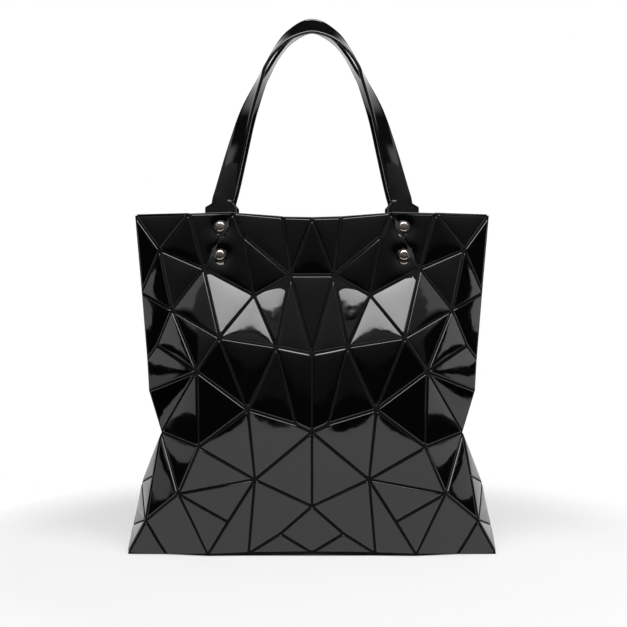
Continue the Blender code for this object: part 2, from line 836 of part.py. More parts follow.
def zip_chain(group, skin, front_y, zip_z):
    """Tape in the window with the closed rows of teeth standing on it."""
    half_length = WINDOW_WIDTH / 2 - SEAT_GAP
    half_tape = WINDOW_HEIGHT / 2 - SEAT_GAP
    outline = []
    count = int((2 * half_length - SLIDER_LENGTH) / TEETH_PITCH)
    start = -count * TEETH_PITCH / 2
    half_teeth = TEETH_WIDTH / 2
    notch = half_teeth - TEETH_NOTCH
    for index in range(count):
        left = start + index * TEETH_PITCH
        outline.append((left, -notch))
        outline.append((left + TEETH_PITCH / 4, -half_teeth))
        outline.append((left + TEETH_PITCH * 3 / 4, -half_teeth))
    outline.append((-start, -notch))
    outline += [(-x, -z) for x, z in outline]
    builder = bmesh.new()
    tape_front = front_y + (POUCH_WALL - TAPE_THICKNESS) / 2
    base = [builder.verts.new((x, tape_front + TAPE_THICKNESS / 2, z)) for x, z in outline]
    face = builder.faces.new(base)
    grown = bmesh.ops.extrude_face_region(builder, geom=[face])["geom"]
    rise = Vector((0, -TEETH_HEIGHT - TAPE_THICKNESS / 2, 0))
    bmesh.ops.translate(
        builder, vec=rise, verts=[part for part in grown if isinstance(part, bmesh.types.BMVert)]
    )
    bmesh.ops.translate(builder, vec=Vector((0, 0, zip_z)), verts=builder.verts)
    bmesh.ops.recalc_face_normals(builder, faces=builder.faces)
    teeth = as_cutter(object_from(builder, "zip_teeth", bpy.data.collections["cutters"]))
    tape = box(
        "pocket_zip", (2 * half_length, TAPE_THICKNESS, 2 * half_tape),
        (0, tape_front + TAPE_THICKNESS / 2, zip_z), group, skin,
    )
    cut(tape, teeth, "UNION")
    return tape


def slider_frame(front_y, zip_z):
    """The slider rests at the closed end. Y = 0 is the face of the tape."""
    tape_front = front_y + (POUCH_WALL - TAPE_THICKNESS) / 2
    across = -(WINDOW_WIDTH - SLIDER_LENGTH) / 2 + SLIDER_LENGTH / 2
    return Vector((across, tape_front, zip_z))


SLIDER_TRAVEL = WINDOW_WIDTH - 2 * SLIDER_LENGTH
SLIDER_FACE = -(SEAT_GAP + TEETH_HEIGHT + SEAT_GAP + SLIDER_WALL)
EYE_RADIUS = math.hypot(BAIL_SIZE / 2, BAIL_SIZE / 2) + SEAT_GAP
EYE_RIM = EYE_RADIUS + EYE_WALL
BAIL_Y = SLIDER_FACE - SEAT_GAP - EYE_RIM


def zip_slider(group, cutters, skin, front_y, zip_z):
    """A channel that rides over the teeth, with a bail for the pull."""
    origin = slider_frame(front_y, zip_z)
    height = -SLIDER_FACE - SEAT_GAP
    slider = box(
        "pocket_slider", (SLIDER_LENGTH, height, SLIDER_WIDTH),
        (0, -SEAT_GAP - height / 2, 0), group, skin,
    )
    channel_height = TEETH_HEIGHT + SEAT_GAP
    channel = box(
        "slider_channel",
        (SLIDER_LENGTH + 2 * OVERRUN, channel_height + OVERRUN, TEETH_WIDTH + 2 * SEAT_GAP),
        (0, -SEAT_GAP - (channel_height - OVERRUN) / 2, 0), cutters,
    )
    cut(slider, as_cutter(channel))
    reach = BAIL_SPAN / 2
    foot_y = SLIDER_FACE + SLIDER_WALL / 2
    leg = (BAIL_SIZE, foot_y - BAIL_Y, BAIL_SIZE)
    leg_y = (foot_y + BAIL_Y) / 2
    bars = (
        box("bail_left_leg", leg, (-reach, leg_y, 0), cutters),
        box("bail_right_leg", leg, (reach, leg_y, 0), cutters),
        box("bail_bar", (BAIL_SPAN + BAIL_SIZE, BAIL_SIZE, BAIL_SIZE), (0, BAIL_Y, 0), cutters),
    )
    for bar in bars:
        cut(slider, as_cutter(bar), "UNION")
    for item in (slider, channel, *bars):
        item.location = origin
    return slider


def zip_pull(group, cutters, skin, front_y, zip_z):
    """A flat pull whose eye hangs round the bail; its origin is on the bail."""
    origin = slider_frame(front_y, zip_z) + Vector((0, BAIL_Y, 0))
    eye_width = BAIL_SPAN - BAIL_SIZE - 2 * SEAT_GAP
    builder = bmesh.new()
    bmesh.ops.create_cone(
        builder, cap_ends=True, segments=ROUND_STEPS, radius1=EYE_RIM, radius2=EYE_RIM,
        depth=eye_width,
        matrix=Matrix.Rotation(math.pi / 2, 4, "Y"),
    )
    pull = object_from(builder, "pocket_pull", group, skin)
    hole = bmesh.new()
    bmesh.ops.create_cone(
        hole, cap_ends=True, segments=ROUND_STEPS, radius1=EYE_RADIUS, radius2=EYE_RADIUS,
        depth=eye_width + 2 * OVERRUN, matrix=Matrix.Rotation(math.pi / 2, 4, "Y"),
    )
    bore = as_cutter(object_from(hole, "pull_bore", cutters))
    blade_top = -EYE_RIM + PULL_THICKNESS / 2
    blade = as_cutter(box(
        "pull_blade", (PULL_WIDTH, PULL_THICKNESS, PULL_LENGTH),
        (0, 0, blade_top - BAIL_SIZE / 2 - PULL_LENGTH / 2), cutters,
    ))
    stem = as_cutter(box(
        "pull_stem", (eye_width, PULL_THICKNESS, 2 * EYE_RIM), (0, 0, -EYE_RADIUS - EYE_RIM), cutters,
    ))
    cut(pull, stem, "UNION")
    cut(pull, blade, "UNION")
    cut(pull, bore)
    for item in (pull, bore, blade, stem):
        item.location = origin
    return pull


clear_scene()
parts = new_collection("structured_tote_bag")
tools = new_collection("cutters")

plate_skin = material("gloss_plate", PLATE_BLACK, 0.12)
strap_skin = material("gloss_strap", STRAP_BLACK, 0.10)
cloth_skin = material("black_cloth", CLOTH_BLACK, 0.75)
rivet_skin = material("rivet_metal", WARM_SILVER, 0.22, 1.0)
zip_skin = material("zip_metal", DARK_NICKEL, 0.30, 1.0)

panels = {name: panel_piece(name, parts, plate_skin) for name in PANELS}

facing = inside_wall("mouth_facing", LINING_FACE, FACING_THICKNESS, parts, cloth_skin)
lining = inside_wall("lining", LINING_FACE, LINING_THICKNESS, parts, cloth_skin)
facing_foot = BAG_HEIGHT - FOOT_LENGTH - FACING_MARGIN
slab = (BAG_WIDTH * 2, BELLY_DEPTH * 2, BAG_HEIGHT)
above = box("above_facing_foot", slab, (0, 0, facing_foot + BAG_HEIGHT / 2), tools)
below = box("below_facing_foot", slab, (0, 0, facing_foot - SEAT_GAP - BAG_HEIGHT / 2), tools)
cut(facing, as_cutter(above), "INTERSECT")
cut(lining, as_cutter(below), "INTERSECT")
mouth_binding("mouth_binding", parts, plate_skin)

for face, face_name in ((FRONT, "front"), (BACK, "back")):
    handle_loop(f"{face_name}_handle", face, parts, strap_skin)
    for side, side_name in ((-1, "left"), (1, "right")):
        label = f"{face_name}_{side_name}"
        foot = handle_foot(f"{label}_handle_foot", side, face, parts, strap_skin)
        for row, frame in rivet_frames(side, face):
            hole = rivet_hole(f"{label}_{row}_hole", frame, tools)
            for item in (panels[f"{face_name}_panel"], facing, foot):
                cut(item, hole)
            cap = turned(f"{label}_{row}_rivet", rivet_profile(), parts, rivet_skin)
            burr = turned(f"{label}_{row}_burr", burr_profile(), parts, rivet_skin)
            cap.matrix_world = frame
            burr.matrix_world = frame

zip_pocket(facing, parts, tools, cloth_skin, zip_skin)
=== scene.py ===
import math

import bmesh
import bpy
import numpy as np
from mathutils import Matrix, Vector, noise


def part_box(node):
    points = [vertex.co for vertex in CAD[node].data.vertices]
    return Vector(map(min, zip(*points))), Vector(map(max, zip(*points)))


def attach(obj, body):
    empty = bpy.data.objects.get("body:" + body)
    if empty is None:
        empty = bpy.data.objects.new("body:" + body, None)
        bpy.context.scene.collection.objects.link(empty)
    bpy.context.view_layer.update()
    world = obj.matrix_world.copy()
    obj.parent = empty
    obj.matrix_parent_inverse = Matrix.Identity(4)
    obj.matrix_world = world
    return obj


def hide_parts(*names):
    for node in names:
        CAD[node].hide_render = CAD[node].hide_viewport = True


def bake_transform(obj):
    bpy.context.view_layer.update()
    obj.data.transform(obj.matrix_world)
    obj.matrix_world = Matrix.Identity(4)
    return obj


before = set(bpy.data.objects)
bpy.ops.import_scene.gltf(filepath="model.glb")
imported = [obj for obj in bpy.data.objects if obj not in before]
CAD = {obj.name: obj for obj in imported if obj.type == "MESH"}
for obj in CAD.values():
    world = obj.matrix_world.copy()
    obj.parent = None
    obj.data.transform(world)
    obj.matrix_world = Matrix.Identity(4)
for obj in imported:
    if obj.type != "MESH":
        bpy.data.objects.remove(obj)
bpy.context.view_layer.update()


# The viewpoint. A long lens stands level in front of the bag, about two thirds up the
# body, and its view is shifted down so that the whole bag and some floor are in it.

LENS_MM = 68.9
SENSOR_MM = 36.0
VIEW_DISTANCE = 1.25
VIEW_HEIGHT = 0.291
VIEW_SHIFT = (0.0024, -0.0773)

lens = bpy.data.cameras.new("studio_camera")
lens.sensor_width = SENSOR_MM
lens.lens = LENS_MM
lens.shift_x, lens.shift_y = VIEW_SHIFT
camera = bpy.data.objects.new("studio_camera", lens)
camera.location = (0, -VIEW_DISTANCE, VIEW_HEIGHT)
camera.rotation_euler = (math.radians(90), 0, 0)
bpy.context.scene.collection.objects.link(camera)
bpy.context.scene.camera = camera
bpy.context.scene.view_settings.view_transform = "Standard"


# The white studio. A white table with a lit top carries the bag; a soft box hangs above and
# in front, a key box at the right gives the soft shadow, low strips of card stand beside the
# table, a white sweep behind it, and a dim wall in front; the rest of the room is dark.

TABLE_OUTLINE = (
    (-0.42, -0.64), (0.50, -0.64), (0.50, 0.08), (0.30, 0.30),
    (0.30, 3.00), (-0.30, 3.00), (-0.30, 0.30), (-0.42, 0.08),
)
TABLE_LEVEL = -0.0002
TABLE_WHITE = 0.40
TABLE_LIT = 0.47
TABLE_FADE = (0.29, 0.45)
SOFT_BOX_SIZE = (1.20, 0.78)
SOFT_BOX_PLACE = (0.04, -0.62, 1.318)
SOFT_BOX_AIM = (0.0, -0.05, 0.25)
SOFT_BOX_LEVELS = (5.0, 10.0)
KEY_BOX_SIZE = (0.50, 0.50)
KEY_BOX_PLACE = (0.83, -0.77, 1.14)
KEY_BOX_AIM = (0.0, 0.0, 0.15)
KEY_BOX_LEVELS = (5.5, 5.5)
DIM_WALL_SIZE = (2.4, 0.70)
DIM_WALL_PLACE = (0.0, -1.0, 0.75)
DIM_WALL_AIM = (0.0, 0.0, 0.75)
DIM_WALL_LEVELS = (0.04, 0.30)
CARD_REACH = 0.45
CARD_STRIPS = {"low": (-0.13, 0.25, 0.122, 0.182), "high": (-0.136, 0.25, 0.210, 0.33)}
CARD_LEVELS = {"left_low": 0.65, "left_high": 0.95, "right_low": 0.85, "right_high": 1.25}
ROOM_DARK = 0.006
SWEEP_RISE = (0.20, 0.50)
SWEEP_FOOT = (-0.40, -0.25)
SWEEP_FALL = (0.25, 0.75)
SIDE_PANEL_REACH = (0.42, 0.58)
SIDE_PANEL_RISE = (0.36, 0.45)
SIDE_PANEL_BACK = (-0.45, -0.25)
SIDE_PANEL_LEVEL = 1.0


def new_surface(name):
    """A material with its nodes cleared, and its output."""
    surface = bpy.data.materials.new(name)
    surface.use_nodes = True
    tree = surface.node_tree
    tree.nodes.clear()
    return surface, tree, tree.nodes.new("ShaderNodeOutputMaterial")


def stage_sheet(name, corners, surface):
    """A flat sheet of the studio, which is no part of the bag."""
    mesh = bpy.data.meshes.new(name)
    mesh.from_pydata(corners, [], [tuple(range(len(corners)))])
    mesh.materials.append(surface)
    sheet = bpy.data.objects.new(name, mesh)
    bpy.context.scene.collection.objects.link(sheet)
    return sheet


def white_glow(tree, level=1.0):
    """A shader that gives white light of that strength."""
    glow = tree.nodes.new("ShaderNodeEmission")
    glow.inputs["Color"].default_value = (1, 1, 1, 1)
    glow.inputs["Strength"].default_value = level
    return glow


def rise_node(tree, value, low_high, level, floor=0.0):
    """Brightness that goes smoothly from floor to level between two values."""
    ramp = tree.nodes.new("ShaderNodeMapRange")
    ramp.interpolation_type = "SMOOTHSTEP"
    ramp.inputs["From Min"].default_value, ramp.inputs["From Max"].default_value = low_high
    ramp.inputs["To Min"].default_value = floor
    ramp.inputs["To Max"].default_value = level
    tree.links.new(value, ramp.inputs["Value"])
    return ramp.outputs["Result"]


def joined(tree, operation, first, second=None):
    """Two shader values joined by a math node, or one changed by it."""
    join = tree.nodes.new("ShaderNodeMath")
    join.operation = operation
    tree.links.new(first, join.inputs[0])
    if second:
        tree.links.new(second, join.inputs[1])
    return join.outputs["Value"]


table, tree, out = new_surface("white_table")
paint = tree.nodes.new("ShaderNodeBsdfDiffuse")
paint.inputs["Color"].default_value = (TABLE_WHITE, TABLE_WHITE, TABLE_WHITE, 1)
lit = tree.nodes.new("ShaderNodeAddShader")
tree.links.new(paint.outputs["BSDF"], lit.inputs[0])
tree.links.new(white_glow(tree, TABLE_LIT).outputs["Emission"], lit.inputs[1])
place = tree.nodes.new("ShaderNodeTexCoord")
reach = tree.nodes.new("ShaderNodeVectorMath")
reach.operation = "LENGTH"
tree.links.new(place.outputs["Object"], reach.inputs[0])
seen = tree.nodes.new("ShaderNodeLightPath")
fade = rise_node(tree, reach.outputs["Value"], TABLE_FADE, 1.0)
blend = tree.nodes.new("ShaderNodeMixShader")
tree.links.new(joined(tree, "MULTIPLY", fade, seen.outputs["Is Camera Ray"]), blend.inputs["Fac"])
tree.links.new(lit.outputs["Shader"], blend.inputs[1])
tree.links.new(white_glow(tree).outputs["Emission"], blend.inputs[2])
tree.links.new(blend.outputs["Shader"], out.inputs["Surface"])
stage_sheet("white_table", [(x, y, TABLE_LEVEL) for x, y in TABLE_OUTLINE], table)


def light_box(name, size, place, aim, levels):
    """A box with a white cloth front, whose brightness changes from its low to its high edge."""
    cloth, tree, out = new_surface(f"{name}_cloth")
    glow = white_glow(tree)
    spot = tree.nodes.new("ShaderNodeTexCoord")
    parts = tree.nodes.new("ShaderNodeSeparateXYZ")
    ramp = tree.nodes.new("ShaderNodeMapRange")
    ramp.inputs["From Min"].default_value = -size[1] / 2
    ramp.inputs["From Max"].default_value = size[1] / 2
    ramp.inputs["To Min"].default_value, ramp.inputs["To Max"].default_value = levels
    tree.links.new(spot.outputs["Object"], parts.inputs["Vector"])
    tree.links.new(parts.outputs["Y"], ramp.inputs["Value"])
    tree.links.new(ramp.outputs["Result"], glow.inputs["Strength"])
    tree.links.new(glow.outputs["Emission"], out.inputs["Surface"])
    x, y = size[0] / 2, size[1] / 2
    box = stage_sheet(name, [(-x, -y, 0), (x, -y, 0), (x, y, 0), (-x, y, 0)], cloth)
    box.location = place
    box.rotation_euler = (Vector(aim) - Vector(place)).to_track_quat("-Z", "Y").to_euler()
    box.visible_camera = False
    return box


light_box("soft_box", SOFT_BOX_SIZE, SOFT_BOX_PLACE, SOFT_BOX_AIM, SOFT_BOX_LEVELS)
light_box("dim_wall", DIM_WALL_SIZE, DIM_WALL_PLACE, DIM_WALL_AIM, DIM_WALL_LEVELS)
light_box("key_box", KEY_BOX_SIZE, KEY_BOX_PLACE, KEY_BOX_AIM, KEY_BOX_LEVELS).visible_glossy = False

for name, level in sorted(CARD_LEVELS.items()):
    side, strip = name.split("_")
    reach = -CARD_REACH if side == "left" else CARD_REACH
    front, back, low, high = CARD_STRIPS[strip]
    paper, tree, out = new_surface(f"{name}_card_paper")
    tree.links.new(white_glow(tree, level).outputs["Emission"], out.inputs["Surface"])
    corners = [(reach, front, low), (reach, back, low), (reach, back, high), (reach, front, high)]
    stage_sheet(f"{name}_card", corners, paper).visible_camera = False

room = bpy.data.worlds.new("studio_room")
bpy.context.scene.world = room
room.use_nodes = True
tree = room.node_tree
tree.nodes.clear()
out = tree.nodes.new("ShaderNodeOutputWorld")
air = tree.nodes.new("ShaderNodeBackground")
air.inputs["Color"].default_value = (1, 1, 1, 1)
place = tree.nodes.new("ShaderNodeTexCoord")
parts = tree.nodes.new("ShaderNodeSeparateXYZ")
tree.links.new(place.outputs["Generated"], parts.inputs["Vector"])

sweep = rise_node(tree, parts.outputs["Y"], SWEEP_RISE, 1.0, ROOM_DARK)
sweep = joined(tree, "MULTIPLY", sweep, rise_node(tree, parts.outputs["Z"], SWEEP_FOOT, 1.0))
sweep = joined(tree, "MULTIPLY", sweep, rise_node(tree, parts.outputs["Z"], SWEEP_FALL, 0.0, 1.0))
aside = rise_node(tree, joined(tree, "ABSOLUTE", parts.outputs["X"]), SIDE_PANEL_REACH, 1.0)
above = rise_node(tree, parts.outputs["Z"], SIDE_PANEL_RISE, SIDE_PANEL_LEVEL)
before = rise_node(tree, parts.outputs["Y"], SIDE_PANEL_BACK, 0.0, 1.0)
panels = joined(tree, "MULTIPLY", joined(tree, "MULTIPLY", aside, above), before)
everything = joined(tree, "MAXIMUM", sweep, panels)
seen = tree.nodes.new("ShaderNodeLightPath")
brightness = joined(tree, "MAXIMUM", everything, seen.outputs["Is Camera Ray"])
tree.links.new(brightness, air.inputs["Strength"])
tree.links.new(air.outputs["Background"], out.inputs["Surface"])


# The tile panels. The front, the back, both folding sides and the base are a black mesh
# cloth with rigid PVC plates bonded on it a seam apart, so the bag folds along the seams.
# Each plate is die-cut, hot-pressed with soft edges and never quite flat.

SAME_POINT = 1e-6
PLATE_HEIGHT = 0.0012
PLATE_CHAMFER = 0.0004
CLOTH_RISE = 0.00003
# Edges of a CAD panel by the angle between their faces: a chamfer's is under the first, one
# inside a plate's top lies between the next two. The last is a bend that makes a corner.
CHAMFER_ANGLE = math.radians(62)
FLAT_ANGLE = math.radians(25)
MITRE_ANGLE = math.radians(-15)
CORNER_ANGLE = math.radians(2)
CORNER_CUT = 0.0022
CUT_SHARE = 0.3
CURVE_SHARES = (0.0, 0.25, 0.5, 0.75, 1.0)
POINT_SPACING = 0.005
SHARPEST_SHARE = 0.2
EDGE_ROUND = 0.0011
PLATE_INSETS = (
    0.00006, 0.00026, 0.00055, 0.0009, 0.0011, 0.0015, 0.0022,
    0.0036, 0.0055, 0.008, 0.011, 0.015, 0.020, 0.026,
)
DEEPEST_SHARE = 0.82
SEARCH_STEP, SEARCH_ROUNDS, SEARCH_SHARE = 0.004, 90, 0.93
CROWN_DROP = 0.0010
CROWN_LIFT = 0.0007
CROWN_REACH = 0.0085
WAVE_HEIGHT = 0.00022
WAVE_LENGTH, WAVE_SHIFT = 0.040, 0.37
PLATE_TILT = math.radians(0.35)
TILT_SHIFT, TILT_PLACES = 1.7, ((0.3, 4.1), (5.3, 8.1))
# Plates of the front whose upper edge sits a little deeper or higher: the place of the
# plate's middle (distance from the bag's middle line, height) and how far it looks up.
LEANING_PLATES = (
    ((0.039, 0.250), math.radians(3.6)),
    ((0.062, 0.230), math.radians(-1.2)),
    ((0.083, 0.256), math.radians(2.2)),
)
LEAN_REACH = 0.006
LOOKS_FORWARD = -0.5
# The hem sinks toward the table and its corners spread, the cloth more than the plates.
HEM_REACH = 0.040
HEM_CORNER = (0.10, 0.182)
HEM_LIMIT = 0.88
HEM_MIDDLE_SHARE = 0.45
HEM_SPREAD = 0.0024
PLATE_SETTLE = 0.0026
CLOTH_SETTLE = 0.0042
# The rivets pull the plates in. The mesh is split in passes of (reach, longest edge).
DENT_RADIUS = 0.0100
DENT_DEPTH = 0.0040
DENT_PASSES = ((0.026, 0.006), (0.024, 0.0026), (0.020, 0.0014))
NOISE_RANGE = (0.3, 0.7)
PVC_BLACK = (0.0016, 0.0016, 0.0018)
PVC_DEEP = 0.6
PVC_IOR = 1.62
PVC_HAZE_SIZE = 0.012
PVC_ROUGHNESS = (0.045, 0.085)
PVC_RIPPLE_DEPTH = 0.0005
PVC_RUB_SIZE, PVC_RUB_DEPTH, PVC_RUB_STRENGTH = 0.0011, 0.00002, 0.05
PLATE_RIPPLE = (0.014, 0.22)
MESH_BLACK = (0.0040, 0.0040, 0.0042)
# How much paler the raised yarns are painted than the gaps between them: painted light on the yarns and
# painted shade in the gaps.
MESH_LIT_YARN = 1.5
MESH_PITCH = 0.0009
MESH_PATCH_SIZE = 0.02
MESH_ROUGHNESS = (0.68, 0.82)
MESH_SPECULAR = 0.08
YARN_RISE, YARN_STRENGTH = 0.0002, 0.6
YARN_WAVER, YARN_FUZZ = 0.6, 40.0
# A wave texture of scale 1 has this many bands in pi units of length.
TEXTURE_BANDS = 10


def merged_solid(node):
    """A CAD node as a bmesh, with the corners that its faces share merged."""
    solid = bmesh.new()
    solid.from_mesh(CAD[node].data)
    bmesh.ops.remove_doubles(solid, verts=solid.verts, dist=SAME_POINT)
    solid.normal_update()
    solid.verts.index_update()
    return solid


def mesh_from(solid, name):
    """Write a bmesh into a new mesh and free it."""
    mesh = bpy.data.meshes.new(name)
    solid.to_mesh(mesh)
    solid.free()
    return mesh


def eased(share):
    """A share that starts and ends gently, and stays between 0 and 1."""
    share = min(max(share, 0), 1)
    return share * share * (3 - 2 * share)


def ring_faces(rows, count, first=0):
    """Faces between rings of the same number of points, each ring joined to the next."""
    faces = []
    for row in range(rows - 1):
        for index in range(count):
            a = first + row * count + index
            b = first + row * count + (index + 1) % count
            faces.append((a, b, b + count, a + count))
    return faces


def cut_corner(corner, before, after, cut):
    """Points of a short curve that takes the place of a corner between its two neighbours."""
    back, on = before - corner, after - corner
    back_length, on_length = math.sqrt(back.dot(back)), math.sqrt(on.dot(on))
    trim = min(cut, CUT_SHARE * back_length, CUT_SHARE * on_length)
    start, end = corner + back / back_length * trim, corner + on / on_length * trim
    return [start * (1 - t) ** 2 + corner * 2 * t * (1 - t) + end * t ** 2 for t in CURVE_SHARES]


def plate_outlines(shell):
    """The top of each raised plate of a CAD panel: its faces, outline and outward direction."""
    seen = set()
    plates = []
    for first in shell.faces:
        if first in seen:
            continue
        top, waiting = [first], [first]
        while waiting:
            face = waiting.pop()
            for edge in face.edges:
                if not MITRE_ANGLE < edge.calc_face_angle_signed(math.pi) < FLAT_ANGLE:
                    continue
                for other in edge.link_faces:
                    if other not in top:
                        top.append(other)
                        waiting.append(other)
        seen.update(top)
        rim = [(e, g) for f in top for e in f.edges for g in e.link_faces if g not in top]
        chamfers = [
            e for e, g in rim if e.calc_face_angle_signed() < CHAMFER_ANGLE
            and 2 * g.calc_area() / e.calc_length() < PLATE_HEIGHT
        ]
        holes = [e for e, g in rim if e.calc_face_angle_signed() > CHAMFER_ANGLE]
        width = 2 * sum(f.calc_area() for f in top) / sum(e.calc_length() for e, g in rim)
        if width < 2 * PLATE_HEIGHT or len(chamfers) < 3 or len(chamfers) + len(holes) < len(rim):
            continue
        out = sum((f.normal * f.calc_area() for f in top), Vector()).normalized()
        plates.append((top, chain(chamfers, out), out))
    return plates


def chain(edges, out):
    """The corners of a ring of edges in order, anticlockwise as seen from outside."""
    beside = {}
    for edge in edges:
        a, b = edge.verts
        beside.setdefault(a, []).append(b)
        beside.setdefault(b, []).append(a)
    start = min(beside, key=lambda v: v.index)
    ring, here = [start], min(beside[start], key=lambda v: v.index)
    while here != start:
        ring.append(here)
        here = next(v for v in beside[here] if v != ring[-2])
    points = [v.co.copy() for v in ring]
    turn = sum((a.cross(b) for a, b in zip(points, points[1:] + points[:1])), Vector())
    if turn.dot(out) < 0:
        points.reverse()
    corners = []
    for before, point, after in zip(points[-1:] + points[:-1], points, points[1:] + points[:1]):
        if (point - before).angle(after - point) > CORNER_ANGLE:
            corners.append(point)
    return corners


def lower_plates(shell, plates):
    """Press the plates of a CAD panel down onto their cloth, so that only the cloth is left."""
    for top, _, out in plates:
        highest = {v for f in top for v in f.verts}
        slopes = {f for v in highest for f in v.link_faces} - set(top)
        edge_ring = {v for f in slopes for v in f.verts} - highest
        level = math.fsum(v.co.dot(out) for v in highest) / len(highest) - PLATE_HEIGHT
        for corner in highest | edge_ring:
            rise = corner.co.dot(out) - level
            if rise > PLATE_HEIGHT / 2:
                corner.co -= out * (rise - CLOTH_RISE)


def middle_of(sides):
    """The point deepest inside a flat outline, and its depth. Sides are (point, inward)."""
    place = np.mean([point for point, _ in sides], axis=0)
    step = SEARCH_STEP
    for _ in range(SEARCH_ROUNDS):
        depths = [float(np.dot(place - point, inward)) for point, inward in sides]
        nearest = min(range(len(sides)), key=lambda i: depths[i])
        place = place + sides[nearest][1] * step
        step *= SEARCH_SHARE
    return place, min(float(np.dot(place - point, inward)) for point, inward in sides)


def soft_outline(corners):
    """A flat outline with cut corners and points close enough together to bend."""
    points = []
    for before, corner, after in zip(corners[-1:] + corners[:-1], corners, corners[1:] + corners[:1]):
        points += cut_corner(corner, before, after, CORNER_CUT)
        end = points[-1]
        stop = after - (end - corner)
        steps = int(np.linalg.norm(stop - end) / POINT_SPACING)
        for step in range(1, steps + 1):
            points.append(end + (stop - end) * step / (steps + 1))
    return np.array(points)


def press_plate(corners, out, seed):
    """One pressed plate on the cloth as points and faces, from the outline of its top."""
    across = corners[1] - corners[0]
    across = (across - out * across.dot(out)).normalized()
    up = out.cross(across)
    origin = sum(corners, Vector()) / len(corners)
    flat = [np.array(((c - origin).dot(across), (c - origin).dot(up))) for c in corners]
    bends = np.array([(c - origin).dot(out) for c in corners])
    sides = []
    for a, b in zip(flat, flat[1:] + flat[:1]):
        along = (b - a) / np.linalg.norm(b - a)
        sides.append((a, np.array((-along[1], along[0]))))
    grown = []
    for (a, into_a), (b, into_b) in zip(sides[-1:] + sides[:-1], sides):
        spread = (into_a + into_b) / max(1 + float(np.dot(into_a, into_b)), SHARPEST_SHARE)
        grown.append(b - spread * PLATE_CHAMFER)
    sides = [(point - into * PLATE_CHAMFER, into) for point, into in sides]
    middle, depth = middle_of(sides)
    ring = soft_outline(grown)
    insets = [d for d in PLATE_INSETS if d < depth * DEEPEST_SHARE]
    rows = [(0.0, -PLATE_HEIGHT + CLOTH_RISE / 2), (0.0, -EDGE_ROUND)]
    for inset in insets:
        short = max(EDGE_ROUND - inset, 0)
        rows.append((inset, math.sqrt(EDGE_ROUND ** 2 - short ** 2) - EDGE_ROUND))
    tilt = [noise.noise((seed * TILT_SHIFT, *place)) for place in TILT_PLACES]
    lean = sum(
        math.tan(angle) for (x, z), angle in LEANING_PLATES
        if out.y < LOOKS_FORWARD and math.hypot(abs(origin.x) - x, origin.z - z) < LEAN_REACH
    )
    places, levels = [], []
    for inset, level in rows:
        shrunk = middle + (ring - middle) * (1 - inset / depth)
        places.append(shrunk)
        levels.append(np.full(len(ring), level))
    places.append(middle[None, :])
    levels.append(np.zeros(1))
    places, levels = np.concatenate(places), np.concatenate(levels)
    flatness = np.ones(len(places))
    for point, into in sides:
        flatness *= 1 - np.exp(-np.maximum((places - point) @ into, 0) / CROWN_REACH)
    crown = CROWN_LIFT - CROWN_DROP * (1 - flatness)
    crown += (places - middle) @ (np.array(tilt) * 2 * PLATE_TILT)
    shares = np.array([1 / (((places - corner) ** 2).sum(axis=1) + 1e-8) for corner in flat])
    levels = levels + bends @ (shares / shares.sum(axis=0))
    verts = []
    for index, (place, level) in enumerate(zip(places, levels)):
        spot = origin + across * place[0] + up * place[1]
        if index >= len(ring):
            wave = noise.noise(spot / WAVE_LENGTH + Vector((0, seed * WAVE_SHIFT, 0)))
            level += crown[index] + WAVE_HEIGHT * wave - (spot - origin).z * lean
        verts.append(spot + out * level)
    count = len(ring)
    faces = ring_faces(len(rows), count)
    last = (len(rows) - 1) * count
    tip = len(places) - 1
    faces += [(last + i, last + (i + 1) % count, tip) for i in range(count)]
    faces.append(tuple(range(count - 1, -1, -1)))
    return verts, faces


def dimple(mesh, spots):
    """Pull a mesh in round the rivets, after splitting it finely enough there."""
    skin = bmesh.new()
    skin.from_mesh(mesh)
    for reach, longest in DENT_PASSES:
        near = []
        for edge in skin.edges:
            length, middle = edge.calc_length(), (edge.verts[0].co + edge.verts[1].co) / 2
            if length > longest and any((middle - spot).length < reach + length / 2 for spot, _ in spots):
                near.append(edge)
        bmesh.ops.subdivide_edges(skin, edges=near, cuts=1, use_grid_fill=True)
        bmesh.ops.triangulate(skin, faces=[f for f in skin.faces if len(f.verts) > 4])
    for corner in skin.verts:
        for spot, inward in spots:
            far = (corner.co - spot).length_squared / DENT_RADIUS ** 2
            corner.co += inward * DENT_DEPTH * math.exp(-far)
    skin.to_mesh(mesh)
    skin.free()


def settle_hem(mesh, drop):
    """Let the hem sink toward the table, most at the corners, which also spread a little."""
    for corner in mesh.vertices:
        spot = corner.co
        fade = max(1 - spot.z / HEM_REACH, 0) ** 2 * (1 + 2 * max(spot.z, 0) / HEM_REACH)
        far = eased((abs(spot.x) - HEM_CORNER[0]) / (HEM_CORNER[1] - HEM_CORNER[0]))
        share = HEM_MIDDLE_SHARE + (1 - HEM_MIDDLE_SHARE) * far
        fall = min(HEM_LIMIT * max(spot.z, 0), drop * share) * fade
        spot.x += math.copysign(HEM_SPREAD * far * fade, spot.x)
        spot.z -= fall


def object_of(name, mesh, surface):
    """Put a mesh of the bag in the scene with its material, shaded smooth."""
    mesh.shade_smooth()
    mesh.materials.clear()
    mesh.materials.append(surface)
    item = bpy.data.objects.new(name, mesh)
    bpy.context.scene.collection.objects.link(item)
    return item


def add_bump(tree, shader, height, strength, distance, under=None):
    """Let a height drive the shader's normal. Returns the bump node."""
    bump = tree.nodes.new("ShaderNodeBump")
    bump.inputs["Strength"].default_value = strength
    bump.inputs["Distance"].default_value = distance
    tree.links.new(height, bump.inputs["Height"])
    if under:
        tree.links.new(under.outputs["Normal"], bump.inputs["Normal"])
    tree.links.new(bump.outputs["Normal"], shader.inputs["Normal"])
    return bump


